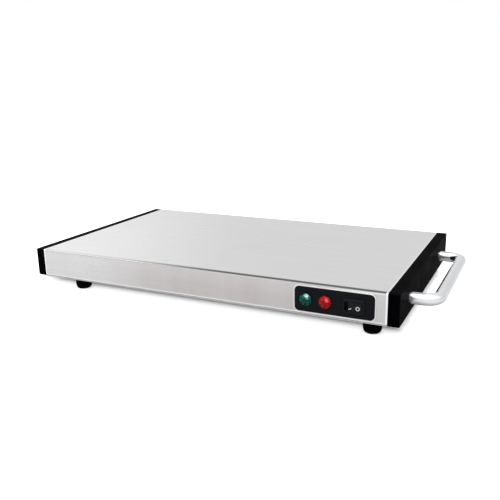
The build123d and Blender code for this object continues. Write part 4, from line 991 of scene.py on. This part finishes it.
    def smooth(self, limit: float = 40.0) -> None:
        """Shades the piece smooth up to an angle in degrees."""
        self.choose()
        bpy.ops.object.shade_smooth_by_angle(angle=math.radians(limit))

    def copy(self, name: str, shift: Vector) -> "Workpiece":
        """Copies the finished piece to another place.

        Args:
            name: The copy's name.
            shift: How far it is moved, in millimetres.

        Returns:
            The copy, with a mesh of its own.
        """
        twin = Workpiece.__new__(Workpiece)
        twin.thing = self.thing.copy()
        twin.thing.data = self.thing.data.copy()
        twin.thing.name = twin.thing.data.name = name
        twin.thing.data.transform(Matrix.Translation(shift * MM))
        bpy.context.scene.collection.objects.link(twin.thing)
        return twin

    def hand_over(
        self, body: Body, finish: bpy.types.Material, slot: str, *replaced: str
    ) -> None:
        """Dresses the piece and fixes it to its body.

        Args:
            body: The body that it rides on.
            finish: Its material.
            slot: Not used.
            replaced: The nodes that it stands for.
        """
        self.thing.data.materials.clear()
        self.thing.data.materials.append(finish)
        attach(self.thing, body.value)
        if replaced:
            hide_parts(*replaced)
        log.info("piece %s rides on %s", self.thing.name, body.value)


def box_mm(node: str) -> tuple[Point, Point]:
    """A node's lowest and highest corner in millimetres."""
    low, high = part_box(node)
    return tuple(v / MM for v in low), tuple(v / MM for v in high)


def middle_of(low: Point, high: Point) -> Point:
    """The middle of a box."""
    return tuple((a + b) / 2 for a, b in zip(low, high))


def dress(finish: Finish, *nodes: str) -> None:
    """Gives the nodes a finish, which they share.

    Args:
        finish: The finish.
        nodes: The names of the nodes.
    """
    material = finish.make()
    for name in nodes:
        for place in frame["nodes"][name].material_slots:
            place.material = material
        log.info("node %s wears %s", name, material.name)


# Sub-assemblies


@dataclass
class SteelBody:
    """The folded stainless sheet, the bottom plate and the bright lip round the panel."""

    lip_width: float = 1.0
    lip_gap: float = 0.2
    lip_proud: float = 0.5
    lip_rise: float = 0.56
    lip_corner: float = 5.9
    lip_round: float = 0.24

    def build(self) -> None:
        """Dresses the sheets and models the lip."""
        low, high = box_mm("top_shell")
        face = low[1] + self.lip_proud
        stainless = TraySheet(
            "stainless_sheet",
            (0.80, 0.80, 0.805),
            0.30,
            left=low[0],
            right=high[0],
            front=face,
            top=high[2],
            bottom=low[2],
            panel=box_mm("control_panel")[1][0],
        )
        dress(stainless, "top_shell")
        galvanised = SpangledSheet("galvanised_steel", (0.62, 0.63, 0.64), 0.38)
        dress(galvanised, "bottom_plate", "heat_shield", "mat_tray")
        self.build_lip(face)

    def build_lip(self, face: float) -> None:
        """Models the rolled lip round the control panel.

        Args:
            face: The place of the sheet's front face.
        """
        low, high = box_mm("control_panel")
        centre = middle_of(low, high)
        width, _, height = (
            b - a + 2 * (self.lip_gap + self.lip_width) for a, b in zip(low, high)
        )
        lip = Workpiece(
            "panel_bead",
            bpy.ops.mesh.primitive_plane_add,
            (centre[0], face, centre[2]),
            (width, height, 1.0),
            size=1.0,
            rotation=UPRIGHT,
        )
        with lip:
            bpy.ops.mesh.bevel(
                offset=self.lip_corner * MM, segments=10, affect="VERTICES", clamp_overlap=True
            )
            lip.open_frame(self.lip_width)
        lip.modify("SOLIDIFY", thickness=self.lip_rise * MM, offset=1.0)
        with lip:
            lip.weld()
        lip.round_edges(self.lip_round, 3, 50.0)
        lip.smooth(50.0)
        bright = PolishedMetal("polished_edge", (0.84, 0.84, 0.84), 0.18).make()
        lip.hand_over(Body.TRAY, bright, "brushed_steel_sheet")


@dataclass
class EndCaps:
    """The two black mouldings that close the sheet."""

    wear_width: float = 1.1

    def build(self) -> None:
        """Dresses the caps, each with wear along its own edges."""
        shell_low, shell_high = box_mm("top_shell")
        for node in ("left_end_cap", "right_end_cap"):
            low, high = box_mm(node)
            ends = (low[0], shell_low[0]) if node.startswith("left") else (shell_high[0], high[0])
            moulding = MouldedPlastic(
                f"{node}_moulding",
                (0.0010, 0.0010, 0.0016),
                0.55,
                specular=0.005,
                relief=0.2,
                worn=(0.006, 0.006, 0.008),
                low=(ends[0], *low[1:]),
                high=(ends[1], *high[1:]),
                wear_width=self.wear_width,
                wear=0.8,
            )
            dress(moulding, node)


@dataclass
class CarryingHandle:
    """The bent tube at the right end."""

    wall: float = 1.2
    bend: float = 14.0
    sides: int = 48

    def build(self) -> None:
        """Models the tube as a circle that is drawn out and swept round two bends."""
        low, high = box_mm("handle_tube")
        level = (low[2] + high[2]) / 2
        radius = (high[2] - low[2]) / 2
        bar = high[0] - radius
        front = low[1] + radius
        rear = high[1] - radius
        tube = Workpiece(
            "handle_bar",
            bpy.ops.mesh.primitive_circle_add,
            (low[0], front, level),
            radius=radius * MM,
            vertices=self.sides,
            rotation=ALONG_X,
        )
        with tube:
            tube.extrude((bar - self.bend - low[0], 0.0, 0.0))
            tube.spin((bar - self.bend, front + self.bend, level), 90.0)
            tube.extrude((0.0, rear - front - 2 * self.bend, 0.0))
            tube.spin((bar - self.bend, rear - self.bend, level), 90.0)
            tube.extrude((low[0] + self.bend - bar, 0.0, 0.0))
            tube.weld()
        tube.modify("SOLIDIFY", thickness=self.wall * MM, offset=-1.0)
        tube.smooth()
        chrome = SatinTube(
            "satin_chrome", (0.96, 0.98, 1.0), 0.2, smudges=0.05, low=low, high=high
        )
        tube.hand_over(Body.TRAY, chrome.make(), "handle_chrome", "handle_tube")


@dataclass
class PilotLamps:
    """The green and the red lens in front of their holders."""

    radius: float = 6.7
    height: float = 4.2
    barrel: float = 3.9
    barrel_length: float = 6.0
    edge_round: float = 0.06
    # where and how widely the painted highlights and the painted facet reflections fall on the
    # lenses
    gleam_reach: float = 1.1
    least_facet: float = 0.5
    shade_turns: float = 5.0
    shade_slope: float = 9.0
    green_gleam: Point = (1.7, 2.2, 4.2)
    red_gleam: Point = (2.6, 1.6, 3.1)
    rings: tuple[tuple[float, float, int, float], ...] = (
        (0.0, 1.0, 12, 0.0),
        (0.26, 0.97, 12, 0.0),
        (0.6, 0.8, 12, 0.5),
        (0.86, 0.54, 6, 0.25),
        (1.0, 0.27, 6, 0.75),
    )

    def build(self) -> None:
        """Models the green lens, copies it for the red one, and paints reflections and a highlight
        onto the facets of both.
        """
        # each lens has a colour, a painted reflection colour for its lighter facets and a painted
        # highlight colour
        green = LampLens(
            "green_lens_plastic",
            (0.0, 0.013, 0.009),
            0.1,
            painted_facet_reflection=(0.0, 0.13, 0.095),
            gleam=(0.72, 1.0, 0.98),
        )
        red = LampLens(
            "red_lens_plastic",
            (0.12, 0.001, 0.002),
            0.1,
            painted_facet_reflection=(0.60, 0.006, 0.006),
            gleam=(0.92, 0.15, 0.14),
        )
        low, high = box_mm("green_lens")
        shift = Vector((box_mm("red_lens")[0][0] - low[0], 0.0, 0.0))
        front = Vector(middle_of(low, high))
        front.y = low[1]
        lens = self.cut_lens(low, high)
        twin = lens.copy("red_lens_gem", shift)
        self.shade_facets(lens.thing, front + Vector(self.green_gleam))
        self.shade_facets(twin.thing, front + shift + Vector(self.red_gleam))
        lens.hand_over(Body.TRAY, green.make(), "green_lamp", "green_lens")
        twin.hand_over(Body.TRAY, red.make(), "red_lamp", "red_lens")

    def cut_lens(self, low: Point, high: Point) -> Workpiece:
        """Models a lens as the hull of staggered rings, like a cut stone.

        Args:
            low: The node's lowest corner.
            high: Its highest corner.

        Returns:
            The lens.
        """
        across, _, up = middle_of(low, high)
        seat = low[1] + self.height
        lens = Workpiece(
            "green_lens_gem",
            bpy.ops.mesh.primitive_circle_add,
            (across, seat, up),
            radius=self.radius * MM,
            vertices=self.rings[0][2],
            rotation=UPRIGHT,
        )
        with lens:
            for reach, share, corners, phase in self.rings[1:]:
                bpy.ops.mesh.primitive_circle_add(
                    vertices=corners,
                    radius=self.radius * share * MM,
                    location=Vector((across, seat - reach * self.height, up)) * MM,
                    rotation=(math.pi / 2, phase * 2 * math.pi / corners, 0.0),
                )
            bpy.ops.mesh.select_all(action="SELECT")
            bpy.ops.mesh.convex_hull(join_triangles=False)
            lens.pick("FACE", lambda at, normal: normal.y > 0.95)
            bpy.ops.mesh.dissolve_faces()
            bpy.ops.mesh.inset(thickness=(self.radius - self.barrel) * MM)
            lens.extrude((0.0, self.barrel_length, 0.0))
        lens.round_edges(self.edge_round, 1, 12.0)
        return lens

    def shade_facets(self, thing: bpy.types.Object, lit_at: Vector) -> None:
        """Paints each facet lighter or darker by the way that it faces, as a reflection, and paints
        a highlight on those near one place.

        Args:
            thing: The lens.
            lit_at: Where the painted highlight sits, in millimetres.
        """
        mesh = thing.data
        shade = mesh.attributes.new("facet_painted_reflection", "FLOAT", "FACE")
        gleam = mesh.attributes.new("facet_gleam", "FLOAT", "FACE")
        nearest = min(
            (face.center / MM - lit_at).length
            for face in mesh.polygons
            if face.area > self.least_facet * MM * MM
        )
        # painted reflection from each facet's direction, and a painted highlight on the facets
        # nearest one place
        for face in mesh.polygons:
            turn = math.atan2(face.normal.z, face.normal.x)
            phase = self.shade_turns * turn + self.shade_slope * face.normal.y
            shade.data[face.index].value = (1 + math.sin(phase)) / 2
            away = max((face.center / MM - lit_at).length - nearest, 0.0)
            gleam.data[face.index].value = math.exp(-((away / self.gleam_reach) ** 2))


@dataclass
class RockerSwitch:
    """The rocker with its two flat wings, and the marks on them."""

    reach: float = 8.8
    height: float = 8.5
    underside: float = 4.0
    half_angle: float = 11.0
    proud: float = 0.3
    edge_round: float = 0.35
    mark_rise: float = 0.1
    ring_radius: float = 2.1
    ring_stroke: float = 0.75
    ring_place: Span = (4.6, -1.2)
    bar_size: Span = (4.0, 0.9)
    bar_place: Span = (-3.5, -2.8)
    bar_turn: float = 26.0
    bar_round: float = 0.4
    sides: int = 96
    ring_sides: int = 40

    def build(self) -> None:
        """Models the rocker and its marks."""
        joint = next(j for j in frame["joints"] if j["child"] == Body.ROCKER.value)
        pivot = tuple(v / MM for v in joint["pos_m"])
        face = box_mm("switch_housing")[0][1] - self.proud
        tilt = math.radians(self.half_angle)
        self.build_rocker(pivot, face, tilt)
        ink = PrintedInk("mark_ink", (0.72, 0.73, 0.75), 0.5).make()
        self.build_ring(pivot, face, ink)
        self.build_bar(pivot, face, tilt, ink)

    def build_rocker(self, pivot: Point, face: float, tilt: float) -> None:
        """Models the rocker from a drum that is cut to its two wings.

        Args:
            pivot: The middle of its pins.
            face: The place of its right wing's face.
            tilt: How far each wing leans, in radians.
        """
        x, y, z = pivot
        rocker = Workpiece(
            "rocker_cap",
            bpy.ops.mesh.primitive_cylinder_add,
            pivot,
            vertices=self.sides,
            radius=self.reach * MM,
            depth=self.height * MM,
        )
        with rocker:
            rocker.cut((x, y + self.underside, z), (0.0, 1.0, 0.0))
            for side in (-1, 1):
                ridge = (x, y - (y - face) / math.cos(tilt), z)
                rocker.cut(ridge, (side * math.sin(tilt), -math.cos(tilt), 0.0))
            rocker.weld()
        rocker.turn_about(pivot, Matrix.Rotation(-tilt, 4, "Z"))
        rocker.round_edges(self.edge_round, 3, 15.0)
        rocker.smooth()
        plastic = MouldedPlastic(
            "rocker_plastic", (0.008, 0.008, 0.009), 0.3, pebbles=3000.0, relief=0.06, specular=0.12
        )
        rocker.hand_over(Body.ROCKER, plastic.make(), "switch_plastic", "switch_rocker")

    def build_ring(self, pivot: Point, face: float, ink: bpy.types.Material) -> None:
        """Models the ring on the right wing.

        Args:
            pivot: The middle of the rocker's pins.
            face: The place of the wing's face.
            ink: The ring's finish.
        """
        ring = Workpiece(
            "off_ring",
            bpy.ops.mesh.primitive_circle_add,
            (pivot[0] + self.ring_place[0], face, pivot[2] + self.ring_place[1]),
            radius=self.ring_radius * MM,
            vertices=self.ring_sides,
            fill_type="NGON",
            rotation=UPRIGHT,
        )
        with ring:
            ring.open_frame(self.ring_stroke)
        ring.modify("SOLIDIFY", thickness=self.mark_rise * MM, offset=0.0)
        ring.smooth()
        ring.hand_over(Body.ROCKER, ink, "white_insulation")

    def build_bar(
        self, pivot: Point, face: float, tilt: float, ink: bpy.types.Material
    ) -> None:
        """Models the bar on the left wing.

        Args:
            pivot: The middle of the rocker's pins.
            face: The place of the right wing's face.
            tilt: How far each wing leans, in radians.
            ink: The bar's finish.
        """
        ridge = pivot[0] - (pivot[1] - face) * math.tan(tilt)
        out, level = self.bar_place
        place = (
            ridge + out * math.cos(2 * tilt),
            face - out * math.sin(2 * tilt),
            pivot[2] + level,
        )
        length, stroke = self.bar_size
        bar = Workpiece(
            "on_bar",
            bpy.ops.mesh.primitive_cube_add,
            place,
            (length, self.mark_rise, stroke),
            size=1.0,
        )
        with bar:
            bar.pick("EDGE", lambda _, along: abs(along.y) > 0.9)
            bpy.ops.mesh.bevel(
                offset=self.bar_round * stroke * MM, segments=4, affect="EDGES"
            )
        level_turn = Matrix.Rotation(-math.radians(self.bar_turn), 4, "Y")
        bar.turn_about(place, Matrix.Rotation(-2 * tilt, 4, "Z") @ level_turn)
        bar.smooth()
        bar.hand_over(Body.ROCKER, ink, "white_insulation")


@dataclass
class ControlPanel:
    """The black panel with its lamps and its rocker switch."""

    worn_depth: float = 6.7
    wear_width: float = 0.9

    def build(self) -> None:
        """Dresses the panel and builds what stands in it."""
        low, high = box_mm("control_panel")
        panel = MouldedPlastic(
            "panel_moulding",
            (0.0058, 0.0065, 0.0086),
            0.42,
            pebbles=2600.0,
            relief=0.1,
            specular=0.07,
            worn=(0.02, 0.02, 0.024),
            low=low,
            high=(high[0], low[1] + self.worn_depth, high[2]),
            wear_width=self.wear_width,
        )
        dress(panel, "control_panel", "lamp_holders")
        housing = MouldedPlastic(
            "switch_moulding",
            (0.005, 0.006, 0.007),
            0.4,
            pebbles=2800.0,
            relief=0.08,
            specular=0.11,
        )
        dress(housing, "switch_housing", "switch_rocker")
        PilotLamps().build()
        RockerSwitch().build()
        dress(ClearGlass("neon_glass", (0.95, 0.93, 0.90), 0.02), "lamp_bulbs")


@dataclass
class RubberFeet:
    """Four bowl-shaped feet with a groove and a recessed sole."""

    sole: float = 6.3
    wall: float = 6.4
    recess: float = 4.5
    recess_depth: float = 6.0
    bore: float = 2.2
    groove_width: float = 0.8
    groove_depth: float = 0.25
    groove_drop: float = 1.6
    edge_round: float = 0.25
    sides: int = 56

    def build(self) -> None:
        """Models one foot and copies it to the other three places."""
        rubber = MouldedPlastic(
            "black_rubber", (0.002, 0.002, 0.002), 0.72, pebbles=1500.0, relief=0.2, specular=0.01
        ).make()
        low, high = box_mm(FEET[0])
        foot = self.turn_foot(low, high)
        pieces = [foot]
        for name in FEET[1:]:
            pieces.append(foot.copy(f"{name}_bowl", Vector(box_mm(name)[0]) - Vector(low)))
        for piece, name in zip(pieces, FEET):
            piece.hand_over(Body.TRAY, rubber, "foot_rubber", name)

    def turn_foot(self, low: Point, high: Point) -> Workpiece:
        """Turns the foot's profile about its own axis.

        Args:
            low: The node's lowest corner.
            high: Its highest corner.

        Returns:
            The foot.
        """
        axis_at = (*middle_of(low, high)[:2], high[2])
        radius = (high[0] - low[0]) / 2
        height = high[2] - low[2]
        bowl = [
            (self.sole + (radius - self.sole) * math.cos(turn), self.wall * (1 - math.sin(turn)))
            for turn in (math.radians(angle) for angle in range(0, 91, 10))
        ]
        groove = height - self.groove_drop
        stations = [
            (radius, height),
            (radius, groove),
            (radius - self.groove_depth, groove - self.groove_depth),
            (radius - self.groove_depth, groove - self.groove_width + self.groove_depth),
            (radius, groove - self.groove_width),
            *bowl,
            (self.recess, 0.0),
            (self.recess, self.recess_depth),
            (self.bore, self.recess_depth),
            (self.bore, height),
        ]
        foot = Workpiece(
            "front_left_foot_bowl",
            bpy.ops.mesh.primitive_circle_add,
            axis_at,
            radius=radius * MM,
            vertices=self.sides,
        )
        with foot:
            foot.turn_rings(axis_at, stations)
            foot.pick("VERT", lambda at, _: abs(at.z - height) < 0.01)
            bpy.ops.mesh.bridge_edge_loops()
            foot.weld()
        foot.round_edges(self.edge_round, 2, 60.0)
        foot.smooth()
        return foot


@dataclass
class Electrics:
    """The mains inlet, the heater and everything wired between them."""

    def build(self) -> None:
        """Dresses the nodes, those of one finish together."""
        for finish, nodes in (
            (
                MouldedPlastic(
                    "inlet_moulding",
                    (0.014, 0.014, 0.014),
                    0.5,
                    pebbles=2400.0,
                    relief=0.15,
                    specular=0.25,
                ),
                "power_inlet",
            ),
            (
                MouldedPlastic(
                    "brown_phenolic", (0.15, 0.07, 0.045), 0.4, pebbles=1800.0, relief=0.1
                ),
                "thermostat_body",
            ),
            (
                MouldedPlastic(
                    "silicone_rubber", (0.33, 0.08, 0.05), 0.6, pebbles=1500.0, relief=0.1
                ),
                "shield_grommets",
            ),
            (
                PolishedMetal("plated_brass", (0.78, 0.70, 0.46), 0.26),
                "lamp_tags switch_tags switch_bridge inlet_pins element_pins thermostat_tags "
                "terminal_clamps earth_fixings",
            ),
            (
                PolishedMetal("zinc_plating", (0.66, 0.67, 0.68), 0.3, smudges=0.12),
                "case_screws foot_screws foot_nuts washers handle_plugs handle_backing_plate "
                "handle_screws lamp_retainers inlet_fixings clamp_screws weld_studs stud_nuts "
                "stud_spacers element_clamps shield_rivets thermostat_bracket fuse_clip "
                "fixing_screws",
            ),
            (
                SpangledSheet("rolled_aluminium", (0.78, 0.79, 0.80), 0.3, flakes=90.0),
                "heat_spreader reflector_sheet thermostat_cup thermal_fuse",
            ),
            (
                BrushedSheet("oxidised_sheath", (0.25, 0.24, 0.23), 0.5, lines=900.0),
                "heating_element",
            ),
            (FibreMat("ceramic_fibre", (0.82, 0.80, 0.74), 0.95), "insulation_mat"),
            (
                FiredCeramic("fired_steatite", (0.84, 0.83, 0.79), 0.45),
                "element_bushes terminal_block",
            ),
            (WireSleeve("brown_sleeve", (0.16, 0.07, 0.035), 0.4), "brown_wires"),
            (WireSleeve("blue_sleeve", (0.03, 0.11, 0.38), 0.4), "blue_wires"),
            (
                WireSleeve("earth_sleeve", (0.12, 0.36, 0.07), 0.4, stripe=(0.75, 0.62, 0.05)),
                "earth_wire",
            ),
            (WireSleeve("white_sleeve", (0.78, 0.78, 0.75), 0.4), "lamp_wires"),
            (WireSleeve("clear_sleeve", (0.72, 0.73, 0.72), 0.4), "wire_ends"),
        ):
            dress(finish, *nodes.split())


# Studio


@dataclass(frozen=True)
class SoftLamp:
    """A large soft lamp that points at the tray."""

    name: str
    place: Point
    size: Span
    power: float

    def hang(self) -> None:
        """Hangs the lamp."""
        light = bpy.data.lights.new(self.name, "AREA")
        light.shape = "RECTANGLE"
        light.size, light.size_y = self.size
        light.energy = self.power
        lamp = bpy.data.objects.new(self.name, light)
        lamp.location = self.place
        lamp.rotation_mode = "QUATERNION"
        lamp.rotation_quaternion = (-Vector(self.place)).to_track_quat("-Z", "Y")
        bpy.context.scene.collection.objects.link(lamp)
        log.info("lamp %s hangs", self.name)


@dataclass
class Studio:
    """White floor, soft lamps, an even surround and the camera."""

    floor_side: float = 12.0
    floor_seen: Colour = (0.95, 0.95, 0.95)
    floor_mirrored: Colour = (0.82, 0.82, 0.82)
    floor_glow: float = 0.75
    # painted shadow: the floor's glow drops under the tray, a little past its ends, and round each
    # foot
    underside_glow: float = 0.03
    shadow_past_ends: Span = (44.0, 18.0)
    shadow_edge: Span = (13.5, 34.0)
    foot_shade: float = 0.45
    foot_shadow: Span = (13.0, 5.0)
    surround: float = 0.78
    mirrored: float = 0.74
    left_mirrored: float = 0.32
    front_mirrored: float = 0.45
    left_side: Span = (-0.37, -0.70)
    above_level: Span = (0.15, 0.45)
    in_front: Span = (0.45, 0.1)
    lens: float = 45.5
    eye: Point = (327.625, -695.95, 244.9)
    right: Point = (0.89884, 0.43828, 0.0)
    up: Point = (-0.11500, 0.23584, 0.96497)
    back: Point = (0.42293, -0.86735, 0.26238)
    roll: float = -1.069
    lamps: tuple[SoftLamp, ...] = (
        SoftLamp("overhead_softbox", (0.25, -0.35, 1.5), (1.2, 0.9), 9.0),
        SoftLamp("side_softbox", (-1.3, -0.7, 0.9), (0.9, 0.9), 4.0),
    )

    def build(self) -> None:
        """Builds the studio."""
        self.set_camera()
        self.lay_floor()
        self.light_surround()
        for lamp in self.lamps:
            lamp.hang()
        bpy.context.scene.view_settings.view_transform = "Standard"

    def set_camera(self) -> None:
        """Sets the camera at the photograph's viewpoint."""
        data = bpy.data.cameras.new("viewpoint")
        data.lens = self.lens
        data.clip_start = 0.01
        data.clip_end = 50.0
        camera = bpy.data.objects.new("viewpoint", data)
        turn = math.radians(self.roll)
        right, up = Vector(self.right), Vector(self.up)
        across = math.cos(turn) * right + math.sin(turn) * up
        upright = math.cos(turn) * up - math.sin(turn) * right
        view = Matrix((across, upright, Vector(self.back))).transposed().to_4x4()
        camera.matrix_world = Matrix.Translation(Vector(self.eye) * MM) @ view
        bpy.context.scene.collection.objects.link(camera)
        bpy.context.scene.camera = camera

    def lay_floor(self) -> None:
        """Lays the floor, which glows a little for the camera and keeps the shadow, with a painted
        shadow where its glow fades under the tray and round its feet.
        """
        clear_selection()
        bpy.ops.mesh.primitive_plane_add(size=self.floor_side)
        floor = bpy.context.active_object
        floor.name = "floor"
        paper = Coat("floor_paper")
        seen = self.seen_rays(paper)
        fibre = paper.adjust(paper.noise(paper.position, 900.0, 3.0), 0.02, -0.01)
        bright = paper.calc("ADD", seen, fibre, clamp=True)
        paper.give(
            {
                "Roughness": 1.0,
                "Specular IOR Level": 0.0,
                "Base Color": paper.blend(bright, self.floor_mirrored, self.floor_seen),
                "Emission Color": WHITE,
                "Emission Strength": paper.times(seen, self.paint_shadow_underneath(paper)),
            }
        )
        floor.data.materials.append(paper.material)

    def seen_rays(self, sheet: NodeSheet) -> Socket:
        """Tells the rays of the camera, also through glass, from all others."""
        rays = sheet.add("ShaderNodeLightPath").outputs
        return sheet.calc("MAXIMUM", rays["Is Camera Ray"], rays["Is Transmission Ray"])

    def paint_shadow_underneath(self, paper: Coat) -> Socket:
        """Paints a shadow on the floor over the real one: its glow fades under the tray, a little
        past its ends, and close to its feet.

        Args:
            paper: The floor material's nodes.

        Returns:
            How strongly the floor glows.
        """
        # painted shadow over the real one, from the tray's outline and each foot
        low, high = box_mm("left_end_cap")[0], box_mm("right_end_cap")[1]
        low = (low[0] - self.shadow_past_ends[0], low[1])
        high = (high[0] + self.shadow_past_ends[1], high[1])
        inward = []
        for place, first, last in zip(paper.split(paper.position), low, high):
            away = paper.calc("ABSOLUTE", paper.calc("SUBTRACT", place, (first + last) / 2 * MM))
            inward.append(paper.calc("SUBTRACT", (last - first) / 2 * MM, away))
        share = paper.within(paper.calc("MINIMUM", *inward), 0.0, self.shadow_edge)
        glow = paper.adjust(share, self.underside_glow - self.floor_glow, self.floor_glow)
        for foot in FEET:
            x, y, _ = middle_of(*box_mm(foot))
            ends = {0: paper.position, 1: (x * MM, y * MM, 0.0)}
            offset = paper.add("ShaderNodeVectorMath", ends, operation="DISTANCE")
            near = paper.within(offset.outputs["Value"], 0.0, self.foot_shadow)
            glow = paper.times(glow, paper.adjust(near, -self.foot_shade, 1.0))
        return glow

    def light_surround(self) -> None:
        """Makes the surround white to the camera and even to everything else."""
        world = bpy.data.worlds.new("surround")
        world.use_nodes = True
        bpy.context.scene.world = world
        sheet = NodeSheet(world.node_tree)
        background = world.node_tree.nodes["Background"]
        x, y, z = sheet.split(sheet.add("ShaderNodeTexCoord").outputs["Generated"])
        at_left = sheet.ease(x, *self.left_side)
        at_front = sheet.times(
            sheet.ease(z, *self.above_level), sheet.ease(y, *self.in_front)
        )
        mirrored = sheet.adjust(at_left, self.left_mirrored, self.mirrored)
        mirrored = sheet.adjust(at_front, self.front_mirrored, mirrored)
        rays = sheet.add("ShaderNodeLightPath").outputs
        glossy = sheet.times(rays["Is Glossy Ray"], mirrored)
        seen = sheet.calc("MAXIMUM", self.seen_rays(sheet), glossy)
        sheet.feed(background.inputs["Color"], WHITE)
        sheet.feed(background.inputs["Strength"], sheet.calc("MAXIMUM", seen, self.surround))


def main() -> None:
    """Builds the studio and every sub-assembly in order."""
    Studio().build()
    for build_effect in (
        build_brushing,
        build_grain,
        build_handling,
        build_edge_wear,
        build_spangle,
    ):
        build_effect()
    for assembly in (
        SteelBody(),
        EndCaps(),
        CarryingHandle(),
        ControlPanel(),
        RubberFeet(),
        Electrics(),
    ):
        assembly.build()
        log.info("%s done", type(assembly).__name__)


if __name__ == "__main__":
    logging.basicConfig(level=logging.INFO, format="%(message)s")
    main()
